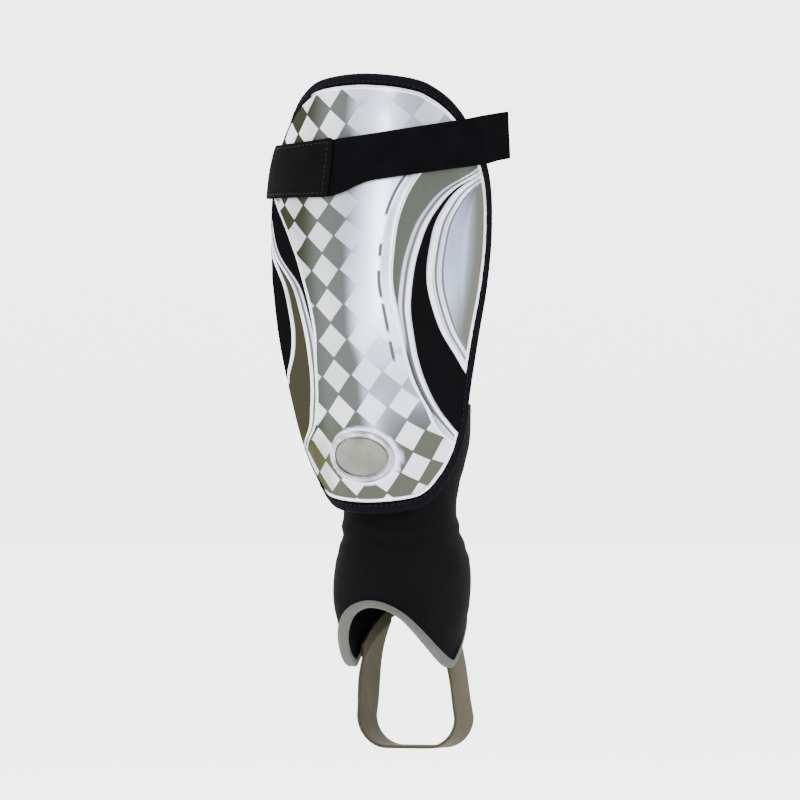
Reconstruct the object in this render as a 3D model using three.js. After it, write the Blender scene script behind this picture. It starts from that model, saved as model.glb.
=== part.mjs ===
// A shin guard with an ankle sleeve, in the form that it takes when worn on a right leg.
// Millimetres, +Z up the leg, the front of the shin towards -Y, the wearer's left towards +X.
// The origin is on the axis of the leg, at half the height of the pad.
import * as THREE from 'three';
import { mergeVertices } from 'three/addons/utils/BufferGeometryUtils.js';

// Driving sizes of the hard shell, the foam pad behind it and the tape round its edge
const GUARD_SIDE = 72.5; // half the width of the shell's curved form at its widest
const GUARD_FRONT = 69.5; // from the leg's axis to the shell's face
const PAD_HEIGHT = 242;
const PAD_HALF_SPAN = 84; // from the centre line round the curve to the pad's edge
const PAD_WALL = 6;
const SHELL_WALL = 2;
const RIM_WIDTH = 6.5; // the strip of edge tape that shows round the shell
const TAPE_WALL = 0.8;
const RIB_HEIGHT = 1.3;
const RIB_FOOT = 2.1; // half the width of a moulded rib
const PANEL_RISE = 7; // width of the slope that climbs to the panel's edge
const BEVEL = 1.6;
const LENS_HEIGHT = 1.6;
const LENS_FOOT_SHARE = 0.2; // of the lens's height, where it meets its rim
const LIP_WIDTH = 2.4;
const LIP_HEIGHT = 0.5;

// Driving sizes of the oval badge low on the shell
const BADGE_ABOVE_END = 31.5; // from the pad's lower end to its centre
const BADGE_SPAN_AT = -1; // round the curve from the centre line
const BADGE_HALF_WIDTH = 19.4;
const BADGE_HALF_HEIGHT = 14.3;
const BADGE_RING_WIDTH = 3.6;
const BADGE_RING_HEIGHT = 2.3;
const BADGE_PLATE_WALL = 1.1;
const BADGE_DOME = 0.7;

// Driving sizes of the calf strap and its hook-and-loop tab
const STRAP_WIDTH = 26;
const STRAP_WALL = 1.2;
const STRAP_BELOW_TOP = 42.7; // from the pad's top to the mean height of its centre line
const STRAP_SLANT = 10; // how far the centre line climbs and drops from the mean
const STRAP_SLANT_ANGLE = 30; // where the centre line crosses its mean height
const STRAP_BOW = 5.5; // how far the lower edge bows down at the tab's end
const STRAP_BOW_REACH = 22; // degrees that the bow runs to each side of the tab's end
const CALF_SIDE = 58.5;
const CALF_BACK = 59.5;
const CALF_TAPER = 0.045; // radius lost for each millimetre up the calf
const TAB_WALL = 1.1;
const TAB_START = -86;
const TAB_END = -10.5;
const TAB_OVERHANG = 0.5; // how far the tab reaches below the strap at its end
const TAB_ABOVE = 1;
const TAB_CORNER = 3; // radius of its free corners
const TAB_ROUNDING = 5; // angle over which they are rounded

// Driving sizes of the ankle sleeve, its hem tape and the strap under the foot
const ANKLE_SIDE = 36.8;
const ANKLE_FRONT = 43;
const ANKLE_BACK = 45;
const SLEEVE_OVERLAP = 60; // how far it reaches up behind the pad
const SLEEVE_LENGTH = 145; // from its top to the corners of its hem
const SLEEVE_WALL = 3;
const HEM_FRONT_RISE = 33.5; // the arch of the hem over the instep
const HEM_FRONT_FALL = 1.6; // how hollow its flanks are: 1 falls straight to the corners
const HEM_BACK_RISE = 35; // the arch over the heel cord
const HEM_BACK_FALL = 1.1;
const HEM_CORNER_ANGLE = 88;
const HEM_TAPE_WIDTH = 4;
const STIRRUP_WIDTH = 19;
const STIRRUP_WALL = 1.6;
const STIRRUP_LAP = 8; // how far it reaches up inside the hem
const STIRRUP_SET_BACK = 3; // from the ankle's middle back to its front edge
const STIRRUP_HALF = 29.4; // from the middle of the foot out to its centre line
const STIRRUP_DROP = 44.5; // from the hem's corners to the sole
const STIRRUP_RADIUS = 17;
const STIRRUP_SLIP = 4; // how far it runs back on its way under the foot

// Clearance between pieces that touch, and the room that flat facets need on round faces
const GAP = 0.3;
const FACET_ROOM = 0.3;

// How finely the solids are faceted
const SHELL_ROWS = 35;
const PANEL_COLUMNS = [0.27, 0.52, 0.77, 1]; // shares of the flat panel's half width
const PAD_ROWS = 24;
const PAD_COLUMNS = 14;
const TAPE_STEPS = 76;
const STRAP_STEPS = 56;
const STRAP_ROWS = 3;
const SLEEVE_STEPS = 36;
const SLEEVE_ROWS = 15;
const SLEEVE_CROWDING = 0.8; // below 1, the rows crowd towards the hem
const OVAL_STEPS = 28;
const ARC_STEPS = 6;

const HALF_HEIGHT = PAD_HEIGHT / 2;
const badgeHeight = -HALF_HEIGHT + BADGE_ABOVE_END;
const strapMean = HALF_HEIGHT - STRAP_BELOW_TOP;
const sleeveTop = -HALF_HEIGHT + SLEEVE_OVERLAP;
const radians = THREE.MathUtils.degToRad;

// The shell's outer form at each height: at is a share of the pad's half height,
// side and front are shares of the guard's half width and depth
const GUARD_FORM = [
  { at: -1, side: 0.555, front: 0.64 },
  { at: -0.89, side: 0.637, front: 0.69 },
  { at: -0.785, side: 0.706, front: 0.74 },
  { at: -0.67, side: 0.768, front: 0.795 },
  { at: -0.45, side: 0.865, front: 0.885 },
  { at: -0.23, side: 0.942, front: 0.955 },
  { at: 0, side: 0.982, front: 0.995 },
  { at: 0.2, side: 1, front: 1 },
  { at: 0.43, side: 0.998, front: 0.977 },
  { at: 0.6, side: 0.972, front: 0.93 },
  { at: 0.8, side: 0.89, front: 0.865 },
  { at: 1, side: 0.82, front: 0.78 },
];

// The pad's outline: half its span at each height, as a share of the widest half span
const PAD_OUTLINE = [
  { at: -1, span: 0 },
  { at: -0.975, span: 0.34 },
  { at: -0.938, span: 0.45 },
  { at: -0.875, span: 0.545 },
  { at: -0.79, span: 0.64 },
  { at: -0.64, span: 0.742 },
  { at: -0.45, span: 0.8 },
  { at: -0.2, span: 0.885 },
  { at: 0.04, span: 0.968 },
  { at: 0.3, span: 1 },
  { at: 0.5, span: 0.97 },
  { at: 0.65, span: 0.885 },
  { at: 0.77, span: 0.768 },
  { at: 0.88, span: 0.613 },
  { at: 0.936, span: 0.488 },
  { at: 0.964, span: 0.4 },
  { at: 1, span: 0 },
];

// The moulded lines on each side of the shell, as shares of the widest half span:
// panel is the edge of the middle panel, wing the rib outside it, lens the rim of the side lens
const RIGHT_LINES = [
  { at: -0.7, panel: 0.66, wing: 0.74, lens: 1.1 },
  { at: -0.62, panel: 0.53, wing: 0.625, lens: 1 },
  { at: -0.51, panel: 0.46, wing: 0.51, lens: 0.9 },
  { at: -0.4, panel: 0.388, wing: 0.443, lens: 0.8 },
  { at: -0.29, panel: 0.352, wing: 0.404, lens: 0.705 },
  { at: -0.18, panel: 0.33, wing: 0.385, lens: 0.611 },
  { at: -0.07, panel: 0.305, wing: 0.373, lens: 0.557 },
  { at: 0.04, panel: 0.279, wing: 0.386, lens: 0.524 },
  { at: 0.2, panel: 0.286, wing: 0.429, lens: 0.535 },
  { at: 0.37, panel: 0.323, wing: 0.531, lens: 0.605 },
  { at: 0.48, panel: 0.382, wing: 0.67, lens: 0.73 },
  { at: 0.56, panel: 0.45, wing: 0.87, lens: 0.92 },
  { at: 0.74, panel: 0.7, wing: 1.1, lens: 1.2 },
];
const LEFT_LINES = [
  { at: -0.72, panel: 0.6, wing: 0.66, lens: 1.2 },
  { at: -0.62, panel: 0.4, wing: 0.448, lens: 1 },
  { at: -0.51, panel: 0.33, wing: 0.38, lens: 0.88 },
  { at: -0.4, panel: 0.306, wing: 0.349, lens: 0.72 },
  { at: -0.29, panel: 0.298, wing: 0.349, lens: 0.56 },
  { at: -0.18, panel: 0.289, wing: 0.369, lens: 0.513 },
  { at: -0.07, panel: 0.315, wing: 0.414, lens: 0.537 },
  { at: 0.04, panel: 0.364, wing: 0.487, lens: 0.6 },
  { at: 0.2, panel: 0.465, wing: 0.779, lens: 0.85 },
  { at: 0.37, panel: 0.655, wing: 1, lens: 1.1 },
  { at: 0.5, panel: 0.9, wing: 1.2, lens: 1.3 },
];

// The sleeve's outer form: down is a share of its length from the top edge, side, front and
// back are shares of the ankle's sizes, and shift is sideways as a share of its side
const SLEEVE_FORM = [
  { down: 0, side: 1, front: 1.04, back: 1, shift: 0 },
  { down: 0.152, side: 0.99, front: 0.977, back: 0.92, shift: 0 },
  { down: 0.234, side: 0.924, front: 0.93, back: 0.82, shift: 0 },
  { down: 0.324, side: 0.856, front: 0.85, back: 0.756, shift: -0.02 },
  { down: 0.406, side: 0.837, front: 0.785, back: 0.733, shift: -0.03 },
  { down: 0.459, side: 0.866, front: 0.814, back: 0.756, shift: -0.02 },
  { down: 0.506, side: 0.883, front: 0.837, back: 0.822, shift: 0 },
  { down: 0.551, side: 0.9375, front: 0.884, back: 0.933, shift: 0 },
  { down: 0.6, side: 0.978, front: 0.93, back: 0.989, shift: 0 },
  { down: 0.661, side: 1, front: 0.99, back: 1, shift: 0 },
  { down: 0.731, side: 0.995, front: 1, back: 1, shift: 0 },
  { down: 0.783, side: 0.965, front: 1, back: 1, shift: 0 },
  { down: 0.828, side: 0.918, front: 1, back: 0.933, shift: 0 },
  { down: 0.873, side: 0.883, front: 1, back: 0.867, shift: 0 },
  { down: 0.922, side: 0.856, front: 0.977, back: 0.822, shift: 0 },
  { down: 1.01, side: 0.83, front: 0.94, back: 0.79, shift: 0 },
];

// A smooth curve through one column of a table
function curve(table, along, column) {
  const places = table.map((row) => row[along]);
  const values = table.map((row) => row[column]);
  const spline = new THREE.CubicInterpolant(places, values, 1, new Float64Array(1));
  return (place) => spline.evaluate(place)[0];
}

// Joins closed rings of points in turn. A ring whose points coincide closes an end.
function loft(rings, joinsItself) {
  const positions = rings.flat().flatMap((point) => [point.x, point.y, point.z]);
  const size = rings[0].length;
  const index = [];
  const spans = joinsItself ? rings.length : rings.length - 1;
  for (let ring = 0; ring < spans; ring += 1) {
    const here = ring * size;
    const next = ((ring + 1) % rings.length) * size;
    for (let point = 0; point < size; point += 1) {
      const after = (point + 1) % size;
      index.push(here + point, here + after, next + after);
      index.push(here + point, next + after, next + point);
    }
  }
  const geometry = new THREE.BufferGeometry();
  geometry.setAttribute('position', new THREE.Float32BufferAttribute(positions, 3));
  geometry.setIndex(index);
  return closedBody(mergeVertices(geometry, 1e-3));
}

// Drops triangles that have closed up, and turns the faces outwards
function closedBody(geometry) {
  const position = geometry.getAttribute('position');
  const index = geometry.getIndex().array;
  const kept = [];
  const corners = [new THREE.Vector3(), new THREE.Vector3(), new THREE.Vector3()];
  let volume = 0;
  for (let start = 0; start < index.length; start += 3) {
    const [a, b, c] = index.slice(start, start + 3);
    if (a !== b && b !== c && c !== a) {
      kept.push(a, b, c);
      [a, b, c].forEach((vertex, corner) => corners[corner].fromBufferAttribute(position, vertex));
      volume += corners[0].dot(corners[1].clone().cross(corners[2]));
    }
  }
  geometry.setIndex(volume < 0 ? kept.reverse() : kept);
  geometry.computeVertexNormals();
  return geometry;
}

// A ring shrunk to its centre, which closes the end of a band
function endOf(ring) {
  const centre = new THREE.Vector3();
  ring.forEach((point) => centre.add(point));
  centre.divideScalar(ring.length);
  return ring.map(() => centre);
}

// The sides of a band in order round its section: outer face up, inner face down
function bandRing(outer, inner) {
  return [...outer, ...inner.reverse()];
}

const guardSide = curve(GUARD_FORM, 'at', 'side');
const guardFront = curve(GUARD_FORM, 'at', 'front');

// A point of the guard: span is measured round the curve, lift outwards from the shell's face
function onGuard(span, height, lift) {
  const side = GUARD_SIDE * guardSide(height / HALF_HEIGHT);
  const front = GUARD_FRONT * guardFront(height / HALF_HEIGHT);
  const angle = span / ((side + front) / 2);
  const outwards = new THREE.Vector2(front * Math.sin(angle), -side * Math.cos(angle)).normalize();
  const x = side * Math.sin(angle) + lift * outwards.x;
  const y = -front * Math.cos(angle) + lift * outwards.y;
  return new THREE.Vector3(x, y, height);
}

// The outline's square is nearly straight at its round ends, so the square is what the curve joins
const spanSquared = curve(PAD_OUTLINE.map((row) => ({ at: row.at, square: row.span ** 2 })), 'at', 'square');

// A point of the outline inset by a distance, with turn running clockwise from the top
function outlinePoint(turn, inset) {
  const place = (angle) => {
    const height = Math.cos(angle);
    const share = Math.sqrt(Math.max(0, spanSquared(height))) * Math.sign(Math.sin(angle));
    return new THREE.Vector2(share * PAD_HALF_SPAN, height * HALF_HEIGHT);
  };
  const step = 0.01;
  const along = place(turn + step).sub(place(turn - step)).normalize();
  return place(turn).add(new THREE.Vector2(along.y, -along.x).multiplyScalar(inset));
}

// Half the outline's span at a height, after it is inset by a distance
function insetOutline(inset) {
  const steps = 240;
  const points = [];
  for (let step = 0; step <= steps; step += 1) {
    points.push(outlinePoint((step / steps) * Math.PI, inset));
  }
  const halfSpan = (height) => {
    const low = points.findIndex((point) => point.y <= height);
    if (low <= 0) {
      return low === 0 ? 0 : Math.max(0, points[steps].x);
    }
    const above = points[low - 1];
    const below = points[low];
    return THREE.MathUtils.mapLinear(height, above.y, below.y, above.x, below.x);
  };
  return { top: points[0].y, bottom: points[steps].y, halfSpan };
}

// Heights that crowd towards the round ends of an outline
function rowHeights(outline, rows) {
  const middle = (outline.top + outline.bottom) / 2;
  const reach = (outline.top - outline.bottom) / 2;
  return Array.from({ length: rows + 1 }, (_, row) => middle + reach * Math.cos((row / rows) * Math.PI));
}

// Spans evenly spread from one edge of a plate to the other
function evenSpans(halfSpan, columns) {
  return Array.from({ length: columns + 1 }, (_, column) => halfSpan * ((2 * column) / columns - 1));
}

// A plate bent round the guard's form: its face has columns of span and lift, its back is smooth
function bentPlate(outline, rows, backLift, columnsAt) {
  const rings = rowHeights(outline, rows).map((height, row) => {
    const isEnd = row === 0 || row === rows;
    const halfSpan = isEnd ? 0 : outline.halfSpan(height);
    const columns = columnsAt(height, halfSpan);
    const face = columns.map((column) => onGuard(column.span, height, column.lift));
    const back = evenSpans(halfSpan, columns.length - 1).map((span) => onGuard(span, height, backLift));
    return bandRing(face, back);
  });
  return loft(rings, false);
}

const wholeOutline = insetOutline(0);
const padOutline = insetOutline(TAPE_WALL + GAP + FACET_ROOM);
const shellOutline = insetOutline(RIM_WIDTH);
const padFace = -SHELL_WALL - GAP - FACET_ROOM;
const padBack = padFace - PAD_WALL;
const tapeFace = padFace + GAP + FACET_ROOM + TAPE_WALL;

// The columns of the shell on one side of its centre line, out to its edge
function sideColumns(lines, height, halfSpan) {
  const at = height / HALF_HEIGHT;
  const reach = (column) => PAD_HALF_SPAN * lines[column](at);
  const panel = reach('panel');
  const wing = Math.max(reach('wing'), panel + BEVEL + RIB_FOOT);
  const lens = Math.max(reach('lens'), wing + 2 * RIB_FOOT);
  const lip = halfSpan - LIP_WIDTH;
  const rise = Math.max(panel - PANEL_RISE, panel / 2);
  const fade = (span, width) => THREE.MathUtils.smoothstep(halfSpan - span, 0, width);
  const lensFade = fade(lens, 4 * LIP_WIDTH);
  const wanted = [
    ...PANEL_COLUMNS.map((share) => ({ span: rise * share, lift: 0 })),
    { span: panel, lift: RIB_HEIGHT * fade(panel, 2 * PANEL_RISE) },
    { span: panel + BEVEL, lift: 0 },
    { span: wing - RIB_FOOT, lift: 0 },
    { span: wing, lift: RIB_HEIGHT * fade(wing, PANEL_RISE) },
    { span: wing + RIB_FOOT, lift: 0 },
    { span: lens - RIB_FOOT, lift: 0 },
    { span: lens, lift: RIB_HEIGHT * lensFade },
    { span: lens + RIB_FOOT, lift: LENS_FOOT_SHARE * LENS_HEIGHT * lensFade },
    { span: (lens + lip) / 2, lift: LENS_HEIGHT * lensFade },
    { span: lip, lift: 0 },
    { span: halfSpan, lift: LIP_HEIGHT },
  ];
  const room = halfSpan / (3 * wanted.length);
  const limit = (order) => halfSpan - (wanted.length - 1 - order) * room;
  const columns = [];
  wanted.forEach((column, order) => {
    const least = order === 0 ? room : columns[order - 1].span + room;
    const span = Math.max(Math.min(column.span, limit(order)), Math.min(least, limit(order)));
    columns.push({ span, lift: column.lift });
  });
  return columns;
}

function lineCurves(table) {
  return {
    panel: curve(table, 'at', 'panel'),
    wing: curve(table, 'at', 'wing'),
    lens: curve(table, 'at', 'lens'),
  };
}

// The hard shell: a thin moulding with a panel edge, a rib and a domed lens on each side
function shell() {
  const right = lineCurves(RIGHT_LINES);
  const left = lineCurves(LEFT_LINES);
  return bentPlate(shellOutline, SHELL_ROWS, -SHELL_WALL, (height, halfSpan) => {
    const leftHalf = sideColumns(left, height, halfSpan).map((column) => ({ ...column, span: -column.span }));
    return [...leftHalf.reverse(), { span: 0, lift: 0 }, ...sideColumns(right, height, halfSpan)];
  });
}

// The foam pad that backs the shell
function foamPad() {
  return bentPlate(padOutline, PAD_ROWS, padBack, (height, halfSpan) => (
    evenSpans(halfSpan, PAD_COLUMNS).map((span) => ({ span, lift: padFace }))));
}

// The tape folded over the pad's edge, with a round fold and two flat flanges
function edgeBinding() {
  const back = padBack - GAP - FACET_ROOM - TAPE_WALL;
  const flange = RIM_WIDTH - GAP - FACET_ROOM;
  const fold = 2 * TAPE_WALL;
  const section = [
    { inset: flange, lift: tapeFace },
    { inset: fold, lift: tapeFace },
    { inset: 0, lift: tapeFace - fold },
    { inset: 0, lift: back + fold },
    { inset: fold, lift: back },
    { inset: flange, lift: back },
    { inset: flange, lift: back + TAPE_WALL },
    { inset: TAPE_WALL, lift: back + TAPE_WALL },
    { inset: TAPE_WALL, lift: tapeFace - TAPE_WALL },
    { inset: flange, lift: tapeFace - TAPE_WALL },
  ];
  const rings = Array.from({ length: TAPE_STEPS }, (_, step) => {
    const turn = ((step + 0.5) / TAPE_STEPS) * 2 * Math.PI;
    return section.map((corner) => {
      const place = outlinePoint(turn, corner.inset);
      return onGuard(place.x, place.y, corner.lift);
    });
  });
  return loft(rings, true);
}

const badgeSeat = GAP + FACET_ROOM / 2;

// A point over the shell where the badge sits, from its centre
function onBadge(turn, halfWidth, halfHeight, lift) {
  const span = BADGE_SPAN_AT + halfWidth * Math.sin(turn);
  const height = badgeHeight + halfHeight * Math.cos(turn);
  return onGuard(span, height, lift);
}

// The raised oval ring of the badge
function badgeRing() {
  const section = [
    { inset: 0, lift: badgeSeat },
    { inset: 0.12, lift: badgeSeat + BADGE_RING_HEIGHT * 0.6 },
    { inset: 0.35, lift: badgeSeat + BADGE_RING_HEIGHT },
    { inset: 0.65, lift: badgeSeat + BADGE_RING_HEIGHT },
    { inset: 0.9, lift: badgeSeat + BADGE_RING_HEIGHT * 0.6 },
    { inset: 1, lift: badgeSeat },
  ];
  const rings = Array.from({ length: OVAL_STEPS }, (_, step) => {
    const turn = (step / OVAL_STEPS) * 2 * Math.PI;
    return section.map((corner) => {
      const inset = corner.inset * BADGE_RING_WIDTH;
      return onBadge(turn, BADGE_HALF_WIDTH - inset, BADGE_HALF_HEIGHT - inset, corner.lift);
    });
  });
  return loft(rings, true);
}

// The domed plate inside the ring
function badgePlate() {
  const halfWidth = BADGE_HALF_WIDTH - BADGE_RING_WIDTH - GAP;
  const halfHeight = BADGE_HALF_HEIGHT - BADGE_RING_WIDTH - GAP;
  const top = badgeSeat + BADGE_PLATE_WALL;
  const layers = [
    { share: 0, lift: badgeSeat },
    { share: 0.5, lift: badgeSeat },
    { share: 1, lift: badgeSeat },
    { share: 1, lift: top },
    { share: 0.7, lift: top + BADGE_DOME * 0.6 },
    { share: 0, lift: top + BADGE_DOME },
  ];
  const rings = layers.map((layer) => Array.from({ length: OVAL_STEPS }, (_, step) => {
    const turn = (step / OVAL_STEPS) * 2 * Math.PI;
    return onBadge(turn, halfWidth * layer.share, halfHeight * layer.share, layer.lift);
  }));
  return loft(rings, false);
}

// The convex outline of points in a level plane
function hullOf(points) {
  const sorted = [...points].sort((p, q) => p.x - q.x || p.y - q.y);
  const turns = (a, b, c) => (b.x - a.x) * (c.y - a.y) - (b.y - a.y) * (c.x - a.x);
  const chain = (ordered) => {
    const kept = [];
    ordered.forEach((point) => {
      while (kept.length > 1 && turns(kept[kept.length - 2], kept[kept.length - 1], point) <= 0) {
        kept.pop();
      }
      kept.push(point);
    });
    return kept.slice(0, -1);
  };
  return [...chain(sorted), ...chain([...sorted].reverse())];
}

// The tight path of the strap at a height, round the guard in front and the calf behind
function tightPath(height) {
  const points = [];
  const steps = 48;
  const seat = Math.max(RIB_HEIGHT, LIP_HEIGHT) + GAP + FACET_ROOM;
  const tapeSeat = tapeFace + GAP + FACET_ROOM;
  const shellSpan = shellOutline.halfSpan(height);
  const tapeSpan = wholeOutline.halfSpan(height);
  for (let step = 0; step <= steps; step += 1) {
    const share = (2 * step) / steps - 1;
    points.push(onGuard(share * shellSpan, height, seat));
    points.push(onGuard(share * tapeSpan, height, tapeSeat));
    const angle = share * Math.PI;
    const swell = CALF_TAPER * (strapMean - height);
    const depth = Math.abs(angle) > Math.PI / 2 ? CALF_BACK : CALF_SIDE;
    const x = (CALF_SIDE + swell) * Math.sin(angle);
    points.push(new THREE.Vector3(x, -(depth + swell) * Math.cos(angle), height));
  }
  return hullOf(points);
}

// How far out the strap lies in a direction, an angle from the front towards +X
function strapReach(angle, height) {
  const path = tightPath(height);
  const direction = new THREE.Vector2(Math.sin(angle), -Math.cos(angle));
  let reach = 0;
  path.forEach((start, corner) => {
    const end = path[(corner + 1) % path.length];
    const from = start.x * direction.y - start.y * direction.x;
    const to = end.x * direction.y - end.y * direction.x;
    if (from * to <= 0 && from !== to) {
      const share = from / (from - to);
      const x = THREE.MathUtils.lerp(start.x, end.x, share);
      const y = THREE.MathUtils.lerp(start.y, end.y, share);
      reach = Math.max(reach, x * direction.x + y * direction.y);
    }
  });
  return reach;
}

// A point on the strap's path, pushed out by a lift
function onStrap(angle, height, lift) {
  const reach = strapReach(angle, height) + lift;
  return new THREE.Vector3(reach * Math.sin(angle), -reach * Math.cos(angle), height);
}

function strapHeight(angle) {
  return strapMean + STRAP_SLANT * Math.sin(angle - radians(STRAP_SLANT_ANGLE));
}

// The height of the strap's lower edge, which bows down where the tab is sewn on
function strapLow(angle) {
  const turned = THREE.MathUtils.radToDeg(Math.atan2(Math.sin(angle), Math.cos(angle)));
  const away = Math.min(Math.abs(turned - TAB_END) / STRAP_BOW_REACH, 1);
  const bow = STRAP_BOW * Math.cos((away * Math.PI) / 2) ** 2;
  return strapHeight(angle) - STRAP_WIDTH / 2 - bow;
}

// The section of a band on the strap's path, between two heights
function strapRing(angle, low, high, seat, wall) {
  const heights = Array.from({ length: STRAP_ROWS + 1 }, (_, row) => (
    THREE.MathUtils.lerp(low, high, row / STRAP_ROWS)));
  const outer = heights.map((height) => onStrap(angle, height, seat + wall));
  const inner = heights.map((height) => onStrap(angle, height, seat));
  return bandRing(outer, inner);
}

// The elastic strap that closes the guard round the calf
function calfStrap() {
  const rings = Array.from({ length: STRAP_STEPS }, (_, step) => {
    const angle = (step / STRAP_STEPS) * 2 * Math.PI;
    return strapRing(angle, strapLow(angle), strapHeight(angle) + STRAP_WIDTH / 2, 0, STRAP_WALL);
  });
  return loft(rings, true);
}

// The stiff hook-and-loop end of the strap, lapped over the strap on the left of the shin
function strapTab() {
  const seat = STRAP_WALL + GAP + FACET_ROOM;
  const low = strapLow(radians(TAB_END)) - TAB_OVERHANG;
  const turn = 360 / STRAP_STEPS;
  const first = Math.ceil((TAB_START + 1) / turn);
  const last = Math.floor((TAB_END - 1) / turn);
  const inner = Array.from({ length: last - first + 1 }, (_, step) => (first + step) * turn);
  const rings = [TAB_START, ...inner, TAB_END].map((degrees) => {
    const fromEnd = Math.min(TAB_END - degrees, degrees - TAB_START, TAB_ROUNDING) / TAB_ROUNDING;
    const rounding = TAB_CORNER * (1 - Math.sqrt(1 - (1 - fromEnd) ** 2));
    const angle = radians(degrees);
    const high = strapHeight(angle) + STRAP_WIDTH / 2 + TAB_ABOVE;
    return strapRing(angle, low + rounding, high - rounding, seat, TAB_WALL);
  });
  return loft([endOf(rings[0]), ...rings, endOf(rings[rings.length - 1])], false);
}

const sleeveSide = curve(SLEEVE_FORM, 'down', 'side');
const sleeveFront = curve(SLEEVE_FORM, 'down', 'front');
const sleeveBack = curve(SLEEVE_FORM, 'down', 'back');
const sleeveShift = curve(SLEEVE_FORM, 'down', 'shift');

// A point of the sleeve's outer face, sunk by a depth
function onSleeve(angle, height, depth) {
  const down = (sleeveTop - height) / SLEEVE_LENGTH;
  const side = ANKLE_SIDE * sleeveSide(down);
  const reach = Math.cos(angle) > 0 ? ANKLE_FRONT * sleeveFront(down) : ANKLE_BACK * sleeveBack(down);
  const outwards = new THREE.Vector2(reach * Math.sin(angle), -side * Math.cos(angle)).normalize();
  const x = side * Math.sin(angle) + ANKLE_SIDE * sleeveShift(down) - depth * outwards.x;
  const y = -reach * Math.cos(angle) - depth * outwards.y;
  return new THREE.Vector3(x, y, height);
}

// The height of the sleeve's hem: an arch in front, a lower one behind, a corner on each side
function hemHeight(angle) {
  const corner = radians(HEM_CORNER_ANGLE);
  const turned = Math.abs(Math.atan2(Math.sin(angle), Math.cos(angle)));
  const inFront = turned < corner;
  const share = inFront ? turned / corner : (Math.PI - turned) / (Math.PI - corner);
  const rise = inFront ? HEM_FRONT_RISE : HEM_BACK_RISE;
  const fall = inFront ? HEM_FRONT_FALL : HEM_BACK_FALL;
  return sleeveTop - SLEEVE_LENGTH + rise * Math.max(Math.cos((share * Math.PI) / 2), 0) ** fall;
}

// Angles round the sleeve, with steps that keep both corners of the hem
function sleeveAngles() {
  return Array.from({ length: SLEEVE_STEPS }, (_, step) => {
    const share = (4 * step) / SLEEVE_STEPS;
    const quarter = Math.floor(share);
    const corner = radians(HEM_CORNER_ANGLE);
    const stops = [0, corner, Math.PI, 2 * Math.PI - corner, 2 * Math.PI];
    return THREE.MathUtils.lerp(stops[quarter], stops[quarter + 1], share - quarter);
  });
}

const hemTapeFold = TAPE_WALL + GAP + FACET_ROOM;

// The stretch sleeve round the ankle
function ankleSleeve() {
  const rings = sleeveAngles().map((angle) => {
    const end = hemHeight(angle) + hemTapeFold + FACET_ROOM / 2;
    const heights = Array.from({ length: SLEEVE_ROWS + 1 }, (_, row) => (
      THREE.MathUtils.lerp(sleeveTop, end, (row / SLEEVE_ROWS) ** SLEEVE_CROWDING)));
    const outer = heights.map((height) => onSleeve(angle, height, 0));
    const inner = heights.map((height) => onSleeve(angle, height, SLEEVE_WALL));
    return bandRing(outer, inner);
  });
  return loft(rings, true);
}

// The tape folded over the sleeve's hem
function hemBinding() {
  const outside = -hemTapeFold;
  const inside = SLEEVE_WALL + hemTapeFold;
  const section = [
    { up: HEM_TAPE_WIDTH, depth: outside },
    { up: TAPE_WALL, depth: outside },
    { up: 0, depth: outside + TAPE_WALL },
    { up: 0, depth: inside - TAPE_WALL },
    { up: TAPE_WALL, depth: inside },
    { up: HEM_TAPE_WIDTH, depth: inside },
    { up: HEM_TAPE_WIDTH, depth: inside - TAPE_WALL },
    { up: TAPE_WALL, depth: inside - TAPE_WALL },
    { up: TAPE_WALL, depth: outside + TAPE_WALL },
    { up: HEM_TAPE_WIDTH, depth: outside + TAPE_WALL },
  ];
  const rings = sleeveAngles().map((angle) => (
    section.map((corner) => onSleeve(angle, hemHeight(angle) + corner.up, corner.depth))));
  return loft(rings, true);
}

// One long edge of the strap under the foot, back from the ankle's middle by a distance: from
// inside the hem on the right, down the side of the foot, under it and up again
function stirrupEdge(distance) {
  const depth = SLEEVE_WALL + hemTapeFold + GAP + FACET_ROOM / 2 + STIRRUP_WALL / 2;
  const angle = Math.PI / 2 + Math.asin(distance / (ANKLE_BACK * sleeveBack(1) - depth));
  const hem = hemHeight(angle);
  const sewn = onSleeve(angle, hem + STIRRUP_LAP, depth);
  const leaves = onSleeve(angle, hem, depth);
  const sole = hemHeight(radians(HEM_CORNER_ANGLE)) - STIRRUP_DROP;
  const bend = Array.from({ length: ARC_STEPS + 1 }, (_, step) => {
    const turn = (step / ARC_STEPS) * (Math.PI / 2);
    const x = STIRRUP_HALF - STIRRUP_RADIUS * (1 - Math.cos(turn));
    const z = sole + STIRRUP_RADIUS * (1 - Math.sin(turn));
    const slip = STIRRUP_SLIP * THREE.MathUtils.smoothstep(hem - z, 0, hem - sole);
    return new THREE.Vector3(x, leaves.y + slip, z);
  });
  const right = [sewn, leaves, ...bend];
  const left = right.map((point) => new THREE.Vector3(-point.x, point.y, point.z));
  return [...right, ...left.reverse()];
}

// The elastic strap that runs under the foot from one corner of the hem to the other
function stirrup() {
  const edges = [STIRRUP_SET_BACK, STIRRUP_SET_BACK + STIRRUP_WIDTH].map(stirrupEdge);
  const [outer, inner] = [1, -1].map((side) => edges.map((edge) => edge.map((point, order) => {
    const before = edge[Math.max(order - 1, 0)];
    const after = edge[Math.min(order + 1, edge.length - 1)];
    const across = new THREE.Vector3(before.z - after.z, 0, after.x - before.x).normalize();
    return point.clone().addScaledVector(across, (side * STIRRUP_WALL) / 2);
  })));
  const rings = edges[0].map((_, order) => (
    [outer[0][order], outer[1][order], inner[1][order], inner[0][order]]));
  return loft([endOf(rings[0]), ...rings, endOf(rings[rings.length - 1])], false);
}

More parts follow.
